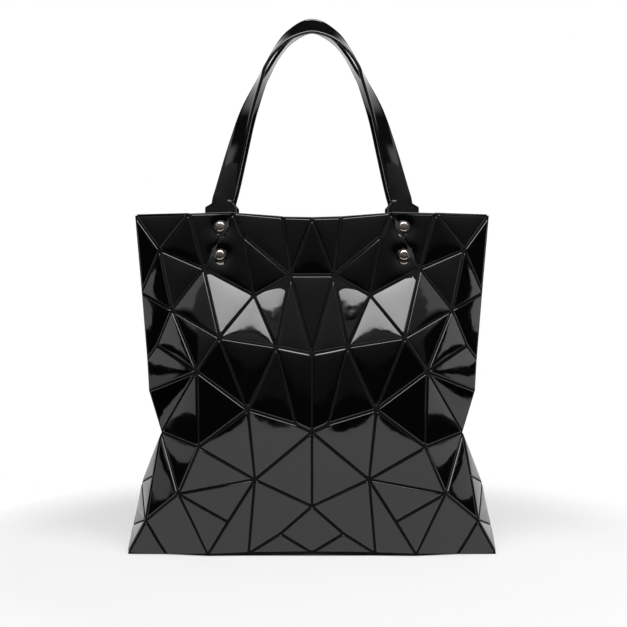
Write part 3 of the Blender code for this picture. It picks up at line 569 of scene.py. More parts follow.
def grain(tree, size, detail=2.0):
    """Noise in the bag's own space, with grains of about that size."""
    place = tree.nodes.new("ShaderNodeTexCoord")
    cloud = tree.nodes.new("ShaderNodeTexNoise")
    cloud.inputs["Scale"].default_value = 1 / size
    cloud.inputs["Detail"].default_value = detail
    tree.links.new(place.outputs["Object"], cloud.inputs["Vector"])
    return cloud.outputs["Fac"]


def spread(tree, value, low, high):
    """Stretch a noise value between two levels."""
    fit = tree.nodes.new("ShaderNodeMapRange")
    fit.inputs["From Min"].default_value, fit.inputs["From Max"].default_value = NOISE_RANGE
    fit.inputs["To Min"].default_value = low
    fit.inputs["To Max"].default_value = high
    tree.links.new(value, fit.inputs["Value"])
    return fit.outputs["Result"]


def two_tone(tree, value, first, second):
    """Mix two colours by a noise value."""
    mix = tree.nodes.new("ShaderNodeMix")
    mix.data_type = "RGBA"
    mix.inputs["A"].default_value = (*first, 1)
    mix.inputs["B"].default_value = (*second, 1)
    tree.links.new(value, mix.inputs["Factor"])
    return mix.outputs["Result"]


def finish(name):
    """A material with one Principled shader: the material, its nodes and the shader."""
    surface, tree, out = new_surface(name)
    shader = tree.nodes.new("ShaderNodeBsdfPrincipled")
    tree.links.new(shader.outputs["BSDF"], out.inputs["Surface"])
    return surface, tree, shader


def tone(tree, shader, pattern, colours, haze, roughness):
    """Let a pattern mix the shader's colour and a haze set its roughness."""
    tree.links.new(two_tone(tree, pattern, *colours), shader.inputs["Base Color"])
    tree.links.new(spread(tree, haze, *roughness), shader.inputs["Roughness"])


def gloss_pvc(name, colour, ripple_size, ripple_strength):
    """Polished black PVC: a deep gloss with a faint ripple and fine rubbed haze."""
    surface, tree, shader = finish(name)
    shader.inputs["IOR"].default_value = PVC_IOR
    haze = grain(tree, PVC_HAZE_SIZE, detail=4.0)
    deep = tuple(PVC_DEEP * level for level in colour)
    tone(tree, shader, haze, (deep, colour), haze, PVC_ROUGHNESS)
    wave = grain(tree, ripple_size, detail=1.0)
    ripple = add_bump(tree, shader, wave, ripple_strength, PVC_RIPPLE_DEPTH)
    add_bump(tree, shader, grain(tree, PVC_RUB_SIZE), PVC_RUB_STRENGTH, PVC_RUB_DEPTH, ripple)
    return surface


def mesh_cloth(name, colour, pitch):
    """Black mesh cloth: round yarns crossing at a fine pitch, dull and deep, the yarn tops painted paler
    and the gaps between them painted dark as shade.
    """
    surface, tree, shader = finish(name)
    shader.inputs["Specular IOR Level"].default_value = MESH_SPECULAR
    place = tree.nodes.new("ShaderNodeTexCoord")
    yarns = []
    for direction in ("X", "Z"):
        yarn = tree.nodes.new("ShaderNodeTexWave")
        yarn.bands_direction = direction
        yarn.inputs["Scale"].default_value = math.pi / pitch / TEXTURE_BANDS
        yarn.inputs["Distortion"].default_value = YARN_WAVER
        yarn.inputs["Detail"].default_value = 1.0
        yarn.inputs["Detail Scale"].default_value = YARN_FUZZ
        tree.links.new(place.outputs["Object"], yarn.inputs["Vector"])
        yarns.append(yarn.outputs["Fac"])
    weave = joined(tree, "MAXIMUM", *yarns)
    # The yarn tops are painted paler and the gaps darker, following the weave's height: painted shade
    # between the yarns.
    paler_tone = tuple(MESH_LIT_YARN * level for level in colour)
    tone(tree, shader, weave, (colour, paler_tone), grain(tree, MESH_PATCH_SIZE), MESH_ROUGHNESS)
    add_bump(tree, shader, weave, YARN_STRENGTH, YARN_RISE)
    return surface


plate_pvc = gloss_pvc("plate_pvc", PVC_BLACK, *PLATE_RIPPLE)
backing_mesh = mesh_cloth("backing_mesh", MESH_BLACK, MESH_PITCH)

rivet_dents = []
for node in sorted(CAD):
    if node.endswith("_rivet"):
        low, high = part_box(node)
        facing_out = low.y if node.startswith("front") else high.y
        middle = (low + high) / 2
        inward = Vector((0, 1 if node.startswith("front") else -1, 0))
        rivet_dents.append((Vector((middle.x, facing_out, middle.z)), inward))

for panel in ("front_panel", "back_panel", "left_gusset", "right_gusset", "base_panel"):
    shell = merged_solid(panel)
    plates = plate_outlines(shell)
    verts, faces = [], []
    for number, (_, corners, out_way) in enumerate(plates):
        spots, sides = press_plate(corners, out_way, number + len(panel))
        faces += [tuple(i + len(verts) for i in face) for face in sides]
        verts += [tuple(spot) for spot in spots]
    pressed = bpy.data.meshes.new(f"{panel}_plates")
    pressed.from_pydata(verts, [], faces)
    dents = [dent for dent in rivet_dents if panel == f"{'front' if dent[1].y > 0 else 'back'}_panel"]
    if dents:
        dimple(pressed, dents)
    settle_hem(pressed, PLATE_SETTLE)
    plate_set = object_of(f"{panel}_plates", pressed, plate_pvc)
    lower_plates(shell, plates)
    backing = mesh_from(shell, f"{panel}_cloth")
    if dents:
        dimple(backing, dents)
    settle_hem(backing, CLOTH_SETTLE)
    cloth = object_of(f"{panel}_cloth", backing, backing_mesh)
    backing.shade_flat()
    for piece in (plate_set, cloth):
        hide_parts(panel)
        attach(piece, "bag")


# The mouth band. A narrow PVC edge is folded over the tops of the panels and the facing
# behind them and heat-sealed down all round, so no raw cloth shows at the mouth. Its top
# is round, and it bends round the corners of the bag in short curves.

BAND_ROUND = 0.0006
BAND_BEND = 0.0030
BAND_SINK = 0.0002
BAND_RIPPLE = (0.012, 0.2)
UPRIGHT = 0.99
TOP_SHARE = 0.9


def band_path():
    """The band's middle line as (place, way to its edge) in order, and its height."""
    hoop = merged_solid("mouth_binding")
    ways = {e: e.verts[0].co - e.verts[1].co for e in hoop.edges}
    tall = max(way.length for way in ways.values() if abs(way.normalized().z) > UPRIGHT)
    tops = {
        v for v in hoop.verts
        if any((v.co - e.other_vert(v).co).z > TOP_SHARE * tall for e in v.link_edges)
    }
    partner = {v: min(tops - {v}, key=lambda w: ((w.co - v.co).length, w.index)) for v in tops}
    here = min(tops, key=lambda v: (v.co.x, v.co.y))
    seen, path = set(), []
    while here:
        pair = (here, partner[here])
        seen.update(pair)
        path.append(((pair[0].co + pair[1].co) / 2, (pair[0].co - pair[1].co) / 2))
        if len(path) > 1 and path[-1][1].dot(path[-2][1]) < 0:
            path[-1] = (path[-1][0], -path[-1][1])
        nearby = {e.other_vert(v) for v in pair for e in v.link_edges} & tops - seen
        here = min(nearby, key=lambda v: ((v.co - path[-1][0]).length, v.index)) if nearby else None
    hoop.free()
    return path, tall


def bent_path(path):
    """The path with each corner replaced by a short curve."""
    result = []
    for before, (corner, wide), after in zip(path[-1:] + path[:-1], path, path[1:] + path[:1]):
        result += [(spot, wide) for spot in cut_corner(corner, before[0], after[0], BAND_BEND)]
    return result


def face_outward(mesh):
    """Turn the faces of a closed mesh outward."""
    shell = bmesh.new()
    shell.from_mesh(mesh)
    bmesh.ops.recalc_face_normals(shell, faces=shell.faces)
    shell.to_mesh(mesh)
    shell.free()


path, tall = band_path()
half_band = sorted(wide.length for _, wide in path)[len(path) // 2]
section = [(1, -tall), (1, -BAND_ROUND)]
for degrees in range(15, 180, 15):
    angle = math.radians(degrees)
    section.append((math.cos(angle), BAND_ROUND * (math.sin(angle) - 1)))
section += [(-1, -BAND_ROUND), (-1, -tall)]
verts = []
path = bent_path(path)
for index, (place, wide) in enumerate(path):
    ahead = (path[(index + 1) % len(path)][0] - path[index - 1][0]).normalized()
    beside = ahead.cross(Vector((0, 0, 1))).normalized()
    if beside.dot(wide) < 0:
        beside = -beside
    for share, rise in section:
        verts.append(place + beside * half_band * share + Vector((0, 0, rise - BAND_SINK)))
faces = [tuple(i % len(verts) for i in face) for face in ring_faces(len(path) + 1, len(section))]
band_mesh = bpy.data.meshes.new("mouth_band")
band_mesh.from_pydata([tuple(v) for v in verts], [], faces)
face_outward(band_mesh)
band = object_of("mouth_band", band_mesh, gloss_pvc("band_pvc", PVC_BLACK, *BAND_RIPPLE))
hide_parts("mouth_binding")
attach(band, "bag")


# The facing. A strip of coated cloth is sewn round the inside of the mouth, where it takes
# the rivets; its lower edge is turned up and topstitched over the lining.

FACING_THICKNESS = 0.0009
FACING_BLACK = (0.014, 0.014, 0.015)
COAT_WORN = 1.6
THREAD_BLACK = (0.020, 0.020, 0.022)
# The first is how much brighter the thread's twist ridges are painted: a painted highlight.
THREAD_RIDGE_HIGHLIGHT, THREAD_SHEEN = 2.0, 0.3
STITCH_LENGTH = 0.0032
STITCH_GAP = 0.0012
THREAD_RADIUS = 0.00028
# Shares of the thread's radius: how far a stitch bows out and sinks in, and how thick it is
# at its ends and how much more in its middle.
STITCH_BOW, STITCH_SINK = 1.3, 0.5
STITCH_TIP, STITCH_SWELL = 0.55, 0.45
STITCH_RINGS = 7
THREAD_SIDES = 6
TOPSTITCH_RISE = 0.005
BAG_HEART = Vector((0, 0, 0.17))
EDGE_ON = -0.05
SPLIT_ROUNDS = 7
FACING_MESH = 0.012
FACING_ROUNDS, FACING_PULL = 3, 0.35
OVAL_SHARE = 0.35
COAT_GRAIN, COAT_RELIEF, COAT_STRENGTH = 0.0012, 0.0003, 0.35
COAT_PATCH_SIZE, COAT_HAZE_SIZE = 0.015, 0.008
COAT_ROUGHNESS = (0.42, 0.6)
THREAD_TWIST, THREAD_RELIEF, THREAD_STRENGTH = 900, 0.0001, 0.5
THREAD_HAZE_SIZE = 0.004
THREAD_ROUGHNESS = (0.45, 0.6)


def inner_skin(node):
    """The faces of a thin CAD wall that look into the bag, as a bmesh."""
    wall = merged_solid(node)
    away = []
    for face in wall.faces:
        outward = (face.calc_center_median() - BAG_HEART).normalized()
        if face.normal.dot(outward) > EDGE_ON:
            away.append(face)
    bmesh.ops.delete(wall, geom=away, context="FACES")
    return wall


def finer_cloth(wall, longest):
    """Split a cloth until no edge is longer than the given length."""
    for _ in range(SPLIT_ROUNDS):
        long_edges = [e for e in wall.edges if e.calc_length() > longest]
        if not long_edges:
            break
        bmesh.ops.subdivide_edges(wall, edges=long_edges, cuts=1, use_grid_fill=True)
        bmesh.ops.triangulate(wall, faces=[f for f in wall.faces if len(f.verts) > 3])
    wall.normal_update()


def relax_cloth(wall, rounds, pull):
    """Round off the folds of a cloth, with its free edges held in place."""
    loose = [v for v in wall.verts if not v.is_boundary]
    for _ in range(rounds):
        goals = [
            sum((e.other_vert(v).co for e in v.link_edges), Vector()) / len(v.link_edges)
            for v in loose
        ]
        for corner, goal in zip(loose, goals):
            corner.co = corner.co.lerp(goal, pull)
    wall.normal_update()


def thicken(item, thickness, offset):
    """Give a single layer of cloth its thickness."""
    skin = item.modifiers.new("thickness", "SOLIDIFY")
    skin.thickness = thickness
    skin.offset = offset
    skin.use_even_offset = False
    bpy.context.view_layer.update()
    result = item.evaluated_get(bpy.context.evaluated_depsgraph_get())
    solid = bpy.data.meshes.new_from_object(result)
    solid.validate()
    item.modifiers.clear()
    item.data = solid


def coated_cloth(name, colour):
    """PVC-coated cloth: a dull leather-like grain over a tight weave."""
    surface, tree, shader = finish(name)
    pebbles = tree.nodes.new("ShaderNodeTexVoronoi")
    pebbles.feature = "SMOOTH_F1"
    pebbles.inputs["Scale"].default_value = 1 / COAT_GRAIN
    place = tree.nodes.new("ShaderNodeTexCoord")
    tree.links.new(place.outputs["Object"], pebbles.inputs["Vector"])
    paler_tone = tuple(COAT_WORN * level for level in colour)
    patches, haze = grain(tree, COAT_PATCH_SIZE), grain(tree, COAT_HAZE_SIZE)
    tone(tree, shader, patches, (colour, paler_tone), haze, COAT_ROUGHNESS)
    add_bump(tree, shader, pebbles.outputs["Distance"], COAT_STRENGTH, COAT_RELIEF)
    return surface


def thread_yarn(name, colour):
    """Polyester sewing thread with a fine twist, its twist ridges painted brighter as a painted highlight.
    """
    surface, tree, shader = finish(name)
    shader.inputs["Sheen Weight"].default_value = THREAD_SHEEN
    twist = tree.nodes.new("ShaderNodeTexWave")
    twist.bands_direction = "DIAGONAL"
    twist.inputs["Scale"].default_value = THREAD_TWIST
    place = tree.nodes.new("ShaderNodeTexCoord")
    tree.links.new(place.outputs["Object"], twist.inputs["Vector"])
    # The ridges of the twist, raised by the same pattern in the bump, are painted brighter: a painted
    # highlight.
    bright = tuple(THREAD_RIDGE_HIGHLIGHT * level for level in colour)
    haze = grain(tree, THREAD_HAZE_SIZE)
    tone(tree, shader, twist.outputs["Fac"], (colour, bright), haze, THREAD_ROUGHNESS)
    add_bump(tree, shader, twist.outputs["Fac"], THREAD_STRENGTH, THREAD_RELIEF)
    return surface


def stitch_row(points, towards):
    """Thread stitches along a row of points; towards gives the way out of the cloth at each."""
    verts, faces = [], []
    lengths = [0.0]
    for a, b in zip(points, points[1:]):
        lengths.append(lengths[-1] + (b - a).length)

    def spot(distance):
        index = max(i for i in range(len(points) - 1) if lengths[i] <= distance or i == 0)
        share = (distance - lengths[index]) / max(lengths[index + 1] - lengths[index], 1e-9)
        return points[index].lerp(points[index + 1], share), towards[index].lerp(towards[index + 1], share)

    start = 0.0
    while start + STITCH_LENGTH < lengths[-1]:
        first = len(verts)
        ahead = (spot(start + STITCH_LENGTH)[0] - spot(start)[0]).normalized()
        for ring in range(STITCH_RINGS):
            share = ring / (STITCH_RINGS - 1)
            place, out_way = spot(start + STITCH_LENGTH * share)
            out_way = (out_way - ahead * out_way.dot(ahead)).normalized()
            beside = ahead.cross(out_way)
            bow = math.sin(math.pi * share)
            lift = THREAD_RADIUS * (STITCH_BOW * bow - STITCH_SINK)
            thin = THREAD_RADIUS * (STITCH_TIP + STITCH_SWELL * bow)
            for side in range(THREAD_SIDES):
                angle = side * math.tau / THREAD_SIDES
                away = lift + thin * math.sin(angle)
                verts.append(place + out_way * away + beside * thin * math.cos(angle))
        faces += ring_faces(STITCH_RINGS, THREAD_SIDES, first)
        faces.append(tuple(range(first + THREAD_SIDES - 1, first - 1, -1)))
        faces.append(tuple(range(len(verts) - THREAD_SIDES, len(verts))))
        start += STITCH_LENGTH + STITCH_GAP
    return verts, faces


def mesh_of(name, verts, faces):
    """A mesh from points and faces."""
    mesh = bpy.data.meshes.new(name)
    mesh.from_pydata([tuple(v) for v in verts], [], faces)
    mesh.validate()
    return mesh


def ring_on_wall(item, level, step=math.radians(1)):
    """Points round the inside of a wall at one height, and the ways into the bag there."""
    points, inward = [], []
    for index in range(int(round(math.tau / step)) + 1):
        angle = index * step
        direction = Vector((math.cos(angle), math.sin(angle) * OVAL_SHARE, 0)).normalized()
        hit, place, normal, _ = item.ray_cast(Vector((0, 0, level)), direction)
        if hit:
            points.append(place)
            inward.append(-normal if normal.dot(direction) > 0 else normal)
    return points, inward


facing_cloth = coated_cloth("facing_cloth", FACING_BLACK)
thread = thread_yarn("sewing_thread", THREAD_BLACK)
wall = inner_skin("mouth_facing")
finer_cloth(wall, FACING_MESH)
relax_cloth(wall, FACING_ROUNDS, FACING_PULL)
facing = object_of("mouth_facing_cloth", mesh_from(wall, "mouth_facing_cloth"), facing_cloth)
bpy.context.view_layer.update()
facing_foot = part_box("mouth_facing")[0].z
seam_points, seam_ways = ring_on_wall(facing, facing_foot + TOPSTITCH_RISE)
thicken(facing, FACING_THICKNESS, -1)
seam_mesh = mesh_of("facing_topstitch", *stitch_row(seam_points, seam_ways))
topstitch = object_of("facing_topstitch", seam_mesh, thread)
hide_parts("mouth_facing")
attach(facing, "bag")
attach(topstitch, "bag")


# The lining. A loose woven bag hangs inside from the facing and lies on the base; it is
# sewn from light twill and falls in soft creases between its folds.

LINING_THICKNESS = 0.0006
LINING_BLACK = (0.016, 0.016, 0.019)
# How much paler the twill's ribs are painted than its grooves: painted shade between the ribs.
TWILL_LIT_RIB = 2.0
LINING_MESH = 0.011
LINING_ROUNDS, LINING_PULL = 6, 0.5
CREASE_DEPTH = 0.0022
FOLD_SIZE = (0.055, 0.055, 0.16)
CREASE_SIZE = (0.021, 0.021, 0.045)
CREASE_OFFSET = Vector((7, 0, 0))
PUFF_SHARE, FOLD_SHARE, CREASE_SHARE = 0.5, 0.9, 0.4
TWILL_PITCH, TWILL_RELIEF, TWILL_STRENGTH = 0.0011, 0.0002, 0.5
TWILL_WAVER, TWILL_FUZZ = 0.8, 60.0
TWILL_SHEEN, TWILL_SHEEN_ROUGHNESS, TWILL_SPECULAR = 0.4, 0.4, 0.3
TWILL_SLANT = (0.0, math.radians(35), math.radians(20))
TWILL_HAZE_SIZE = 0.03
TWILL_ROUGHNESS = (0.62, 0.8)


def twill(name, colour):
    """Black twill: fine slanting ribs, a dull face and a faint sheen, the ribs painted paler and the
    grooves between them darker as painted shade.
    """
    surface, tree, shader = finish(name)
    shader.inputs["Sheen Weight"].default_value = TWILL_SHEEN
    shader.inputs["Sheen Roughness"].default_value = TWILL_SHEEN_ROUGHNESS
    shader.inputs["Specular IOR Level"].default_value = TWILL_SPECULAR
    place = tree.nodes.new("ShaderNodeTexCoord")
    slant = tree.nodes.new("ShaderNodeMapping")
    slant.inputs["Rotation"].default_value = TWILL_SLANT
    ribs = tree.nodes.new("ShaderNodeTexWave")
    ribs.bands_direction = "X"
    ribs.inputs["Scale"].default_value = math.pi / TWILL_PITCH / TEXTURE_BANDS
    ribs.inputs["Distortion"].default_value = TWILL_WAVER
    ribs.inputs["Detail Scale"].default_value = TWILL_FUZZ
    tree.links.new(place.outputs["Object"], slant.inputs["Vector"])
    tree.links.new(slant.outputs["Vector"], ribs.inputs["Vector"])
    # The raised ribs are painted paler and the grooves darker, following the same pattern as the bump:
    # painted shade between the ribs.
    lit_rib = tuple(TWILL_LIT_RIB * level for level in colour)
    haze = grain(tree, TWILL_HAZE_SIZE)
    tone(tree, shader, ribs.outputs["Fac"], (colour, lit_rib), haze, TWILL_ROUGHNESS)
    add_bump(tree, shader, ribs.outputs["Fac"], TWILL_STRENGTH, TWILL_RELIEF)
    return surface


lining_twill = twill("lining_twill", LINING_BLACK)
wall = inner_skin("lining")
finer_cloth(wall, LINING_MESH)
relax_cloth(wall, LINING_ROUNDS, LINING_PULL)
for corner in wall.verts:
    if corner.is_boundary:
        continue
    spot = corner.co
    folds = noise.noise(Vector([s / size for s, size in zip(spot, FOLD_SIZE)]))
    creases = noise.noise(Vector([s / size for s, size in zip(spot, CREASE_SIZE)]) + CREASE_OFFSET)
    puff = PUFF_SHARE + FOLD_SHARE * folds + CREASE_SHARE * creases
    corner.co = spot + corner.normal * CREASE_DEPTH * puff
wall.normal_update()
lining = object_of("lining_cloth", mesh_from(wall, "lining_cloth"), lining_twill)
thicken(lining, LINING_THICKNESS, 0)
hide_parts("lining")
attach(lining, "bag")


# The two handles. Each is one strap of polished flexible PVC with rolled edges: a wide flat
# foot inside the mouth at both ends, a neck, and a loop that turns a quarter in each leg.

STRAP_WIDTH = 0.0220
STRAP_THICKNESS = 0.0036
FOOT_WIDTH = 0.0320
FOOT_LENGTH = 0.055
FOOT_CORNER = 0.008
NECK_RISE = 0.0125
NECK_SHIFT = 0.0018
SHOULDER_START = 0.0060
SHOULDER_END = 0.0115
LOOP_RISES = {"front": 0.1855, "back": 0.1815}
LOOP_GAP = 0.0003
# The loop in rows: the shares of its rise, of its spread at the neck, of its quarter turn
# and of its lean toward the other handle. The front strap turns back near the apex.
LOOP_START = (
    (0.000, 1.000, 0.00, 0.00),
    (0.084, 0.953, 0.11, 0.15),
    (0.333, 0.827, 0.39, 0.50),
    (0.510, 0.725, 0.59, 0.68),
    (0.685, 0.581, 0.86, 0.82),
)
LOOP_END = {
    "front": (
        (0.747, 0.530, 0.94, 0.86),
        (0.846, 0.408, 0.86, 0.92),
        (0.930, 0.243, 0.66, 0.96),
        (0.978, 0.000, 0.45, 0.96),
    ),
    "back": (
        (0.747, 0.514, 0.94, 0.86),
        (0.852, 0.394, 1.00, 0.92),
        (0.946, 0.232, 1.00, 0.97),
        (1.000, 0.000, 1.00, 1.00),
    ),
}
LOOP_STEPS = 8
# Shares of the foot's round corner from its tip, of its straight side and of its shoulder.
TIP_SHARES = (0.02, 0.15, 0.35, 0.6, 0.85, 1.0)
SIDE_SHARES = (0.7, 0.5, 0.3, 0.1, 0.0)
SHOULDER_SHARES = (0.0, 0.1, 0.25, 0.5, 0.75, 0.9, 1.0)
# The strap's section from its edge inward: degrees of the round edge, shares of the roll's
# width and shares of the half width.
EDGE_DEGREES = (90, 75, 58, 40, 22, 5)
ROLL_SHARES = (0.75, 1.0, 1.3, 1.8)
MIDDLE_SHARES = (0.45, 0.2)
ROLL_WIDTH = 0.0026
FACE_SINK = 0.00035
SINK_START, SINK_SPAN = 0.5, 0.8
TOP_EDGE_BAND = 0.0015
STRAP_BLACK = (0.0040, 0.0040, 0.0044)
STRAP_RIPPLE = (0.016, 0.10)


def foot_place(node):
    """Middle of a CAD foot's top edge, and the ways up it and out of it."""
    foot = CAD[node].data
    front = node.startswith("front")
    flat = max(foot.polygons, key=lambda f: f.area * (f.normal.y < 0 if front else f.normal.y > 0))
    out_way = flat.normal.copy()
    up = Vector((1, 0, 0)).cross(out_way)
    if up.z < 0:
        up = -up
    heights = [v.co.dot(up) for v in foot.vertices]
    depths = [v.co.dot(out_way) for v in foot.vertices]
    top, plane = max(heights), (min(depths) + max(depths)) / 2
    tops = [v.co.x for v in foot.vertices if v.co.dot(up) > top - TOP_EDGE_BAND]
    middle = (min(tops) + max(tops)) / 2
    place = Vector((middle, 0, 0)) + up * (top - up.x * middle) + out_way * (plane - out_way.x * middle)
    return place, up, out_way


def smooth_row(points, steps):
    """Catmull-Rom points through a row of tuples, whose ends mirror their neighbours."""
    first = [2 * a - b for a, b in zip(points[0], points[1])]
    last = [-b if i == 1 else b for i, b in enumerate(points[-2])]
    row = [first] + [list(point) for point in points] + [last]
    result = []
    for index in range(1, len(row) - 2):
        before, start, end, after = row[index - 1:index + 3]
        for step in range(steps):
            t = step / steps
            result.append([
                b + t / 2 * (c - a + t * (2 * a - 5 * b + 4 * c - d + t * (3 * (b - c) + d - a)))
                for a, b, c, d in zip(before, start, end, after)
            ])
    result.append(list(points[-1]))
    return result


def strap_section(half_width, half_thickness):
    """The strap's section: rolled round edges and a face sunk a little between them."""
    xs = [half_width - half_thickness * (1 - math.sin(math.radians(a))) for a in EDGE_DEGREES]
    xs += [half_width - ROLL_WIDTH * share for share in ROLL_SHARES]
    xs += [half_width * share for share in MIDDLE_SHARES]
    ring = []
    for x in xs:
        past = max(x - (half_width - half_thickness), 0) / half_thickness
        edge = half_thickness * math.sqrt(max(1 - past ** 2, 0))
        inner = eased((half_width - x - SINK_START * ROLL_WIDTH) / (SINK_SPAN * ROLL_WIDTH))
        sink = FACE_SINK * inner * half_thickness / (STRAP_THICKNESS / 2)
        ring.append((x, edge - sink))
    upper = ring + [(0.0, ring[-1][1])] + [(-x, z) for x, z in reversed(ring)]
    return upper + [(x, -z) for x, z in reversed(upper[1:-1])]


def loop_stations(face, ends):
    """Stations of a loop from neck to neck: place, ways across and out, half width and thickness."""
    place, up, _ = ends[1]
    neck = place + up * LOOP_GAP
    apex_y = -(STRAP_WIDTH + LOOP_GAP) / 2
    half = []
    for rise, spread_share, turn_share, lean in smooth_row(LOOP_START + LOOP_END[face], LOOP_STEPS):
        y = neck.y + (apex_y - neck.y) * lean
        spot = Vector((spread_share * neck.x, y, neck.z + rise * LOOP_RISES[face]))
        half.append((spot, turn_share))
    row = [(Vector((-p.x, p.y, p.z)), t) for p, t in half] + half[-2::-1]
    stations = []
    for index, (spot, turn_share) in enumerate(row):
        before, after = row[max(index - 1, 0)][0], row[min(index + 1, len(row) - 1)][0]
        along = (after - before).normalized()
        if index == 0:
            along = ends[-1][1]
        if index == len(row) - 1:
            along = -ends[1][1]
        toward = Vector((0, -1, 0))
        toward = (toward - along * toward.dot(along)).normalized()
        outside = toward.cross(along)
        if along.z * outside.x > 0 or (index == len(row) // 2 and outside.z < 0):
            outside = -outside
        angle = turn_share * math.pi / 2
        normal = toward * math.cos(angle) + outside * math.sin(angle)
        stations.append((spot, along.cross(normal), normal, STRAP_WIDTH / 2, STRAP_THICKNESS / 2))
    return stations


def foot_stations(side, place, up, out_way):
    """Stations of a foot from its tip up to the neck; side is -1 or 1."""
    rows = []
    for share in TIP_SHARES:
        width = FOOT_WIDTH / 2 - FOOT_CORNER + FOOT_CORNER * math.sin(math.acos(1 - share))
        rows.append((NECK_RISE + FOOT_LENGTH - FOOT_CORNER * share, width, 0.0))
    rows += [(NECK_RISE + FOOT_LENGTH * share, FOOT_WIDTH / 2, 0.0) for share in SIDE_SHARES]
    for share in SHOULDER_SHARES:
        width = FOOT_WIDTH / 2 + (STRAP_WIDTH - FOOT_WIDTH) / 2 * eased(share)
        drop = NECK_RISE - SHOULDER_START - (SHOULDER_END - SHOULDER_START) * share
        rows.append((drop, width, eased(share)))
    rows.append(((NECK_RISE - SHOULDER_END) / 2, STRAP_WIDTH / 2, 1.0))
    across = up.cross(out_way) * -side
    stations = []
    for drop, width, ease in rows:
        spot = place - up * drop + Vector((side * NECK_SHIFT * (1 - ease), 0, 0))
        stations.append((spot, across, out_way, width, STRAP_THICKNESS / 2))
    return stations


def strap_stations(face):
    """Stations of a whole handle, from the tip of one foot to the tip of the other."""
    turn = Matrix.Rotation(math.pi if face == "back" else 0, 3, "Z")
    ends = {}
    for side in ("left", "right"):
        place, up, out_way = (turn @ way for way in foot_place(f"{face}_{side}_handle_foot"))
        ends[-1 if place.x < 0 else 1] = (place, up, out_way)
    stations = foot_stations(-1, *ends[-1]) + loop_stations(face, ends)
    stations += foot_stations(1, *ends[1])[::-1]
    return [(turn @ p, turn @ a, turn @ n, w, t) for p, a, n, w, t in stations]


strap_pvc = gloss_pvc("strap_pvc", STRAP_BLACK, *STRAP_RIPPLE)
for face in ("front", "back"):
    verts = []
    stations = strap_stations(face)
    for place, across, out_way, half_width, half_thickness in stations:
        section = strap_section(half_width, half_thickness)
        verts += [place + across * a + out_way * n for a, n in section]
    count = len(section)
    faces = ring_faces(len(stations), count)
    faces.append(tuple(range(count - 1, -1, -1)))
    faces.append(tuple(range(len(verts) - count, len(verts))))
    mesh = mesh_of(f"{face}_strap", verts, faces)
    face_outward(mesh)
    strap = object_of(f"{face}_strap", mesh, strap_pvc)
    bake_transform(strap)
    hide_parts(f"{face}_handle", f"{face}_left_handle_foot", f"{face}_right_handle_foot")


# The rivets. Two turned and polished rivets go through each end of a strap: a low dome
# outside on the plates, a shank, and a burr hammered over it on the foot inside.

CAP_RADIUS = 0.0050
CAP_HEIGHT = 0.0024
CAP_RIM = 0.0005
CAP_SEAT = 0.0024
CAP_SQUARENESS = 3.4
CAP_BREAK = 0.0001
SHANK_BREAK = 0.0002
DOME_STEPS = 12
SHANK_RADIUS = 0.0015
RIVET_SILVER = (0.70, 0.60, 0.54)
RIVET_DULL = (0.42, 0.36, 0.32)
RIVET_ROUGHNESS = (0.16, 0.30)
DULL_PATCH_SIZE, POLISH_SIZE = 0.0025, 0.0012
TURNED_LINE_SIZE, TURNED_LINE_DEPTH, TURNED_LINE_STRENGTH = 0.0006, 0.00005, 0.12
RIM_ANGLE = math.radians(40)
ROUND_STEPS = 48


def polished_metal(name, bright, dull, roughness):
    """Plated metal: polished, with fine turning lines and duller patches."""
    surface, tree, shader = finish(name)
    shader.inputs["Metallic"].default_value = 1.0
    patches, polish = (grain(tree, size, detail=3.0) for size in (DULL_PATCH_SIZE, POLISH_SIZE))
    tone(tree, shader, patches, (bright, dull), polish, roughness)
    lines = grain(tree, TURNED_LINE_SIZE)
    add_bump(tree, shader, lines, TURNED_LINE_STRENGTH, TURNED_LINE_DEPTH)
    return surface


def rivet_mesh(name, length):
    """A rivet turned about Z: the dome's tip at the origin, the shank down to -length."""
    dome = CAP_HEIGHT - CAP_RIM
    seat = -CAP_HEIGHT - CAP_SEAT
    profile = []
    for step in range(1, DOME_STEPS + 1):
        angle = math.radians(90 * step / DOME_STEPS)
        out, up = (max(value, 0.0) ** (2 / CAP_SQUARENESS) for value in (math.sin(angle), math.cos(angle)))
        profile.append((CAP_RADIUS * out, -dome * (1 - up)))
    profile += [
        (CAP_RADIUS, seat + CAP_BREAK),
        (CAP_RADIUS - CAP_BREAK, seat),
        (SHANK_RADIUS, seat),
        (SHANK_RADIUS, -length + SHANK_BREAK),
        (SHANK_RADIUS - SHANK_BREAK, -length),
    ]
    verts = [(0, 0, 0)]
    for radius, z in profile:
        for step in range(ROUND_STEPS):
            angle = math.tau * step / ROUND_STEPS
            verts.append((radius * math.cos(angle), radius * math.sin(angle), z))
    verts.append((0, 0, -length))
    faces = [(a, d, c, b) for a, b, c, d in ring_faces(len(profile), ROUND_STEPS, 1)]
    end = len(verts) - 1
    last_ring = end - ROUND_STEPS
    for step in range(ROUND_STEPS):
        after = (step + 1) % ROUND_STEPS
        faces += [(0, 1 + step, 1 + after), (end, last_ring + after, last_ring + step)]
    return mesh_of(name, verts, faces)


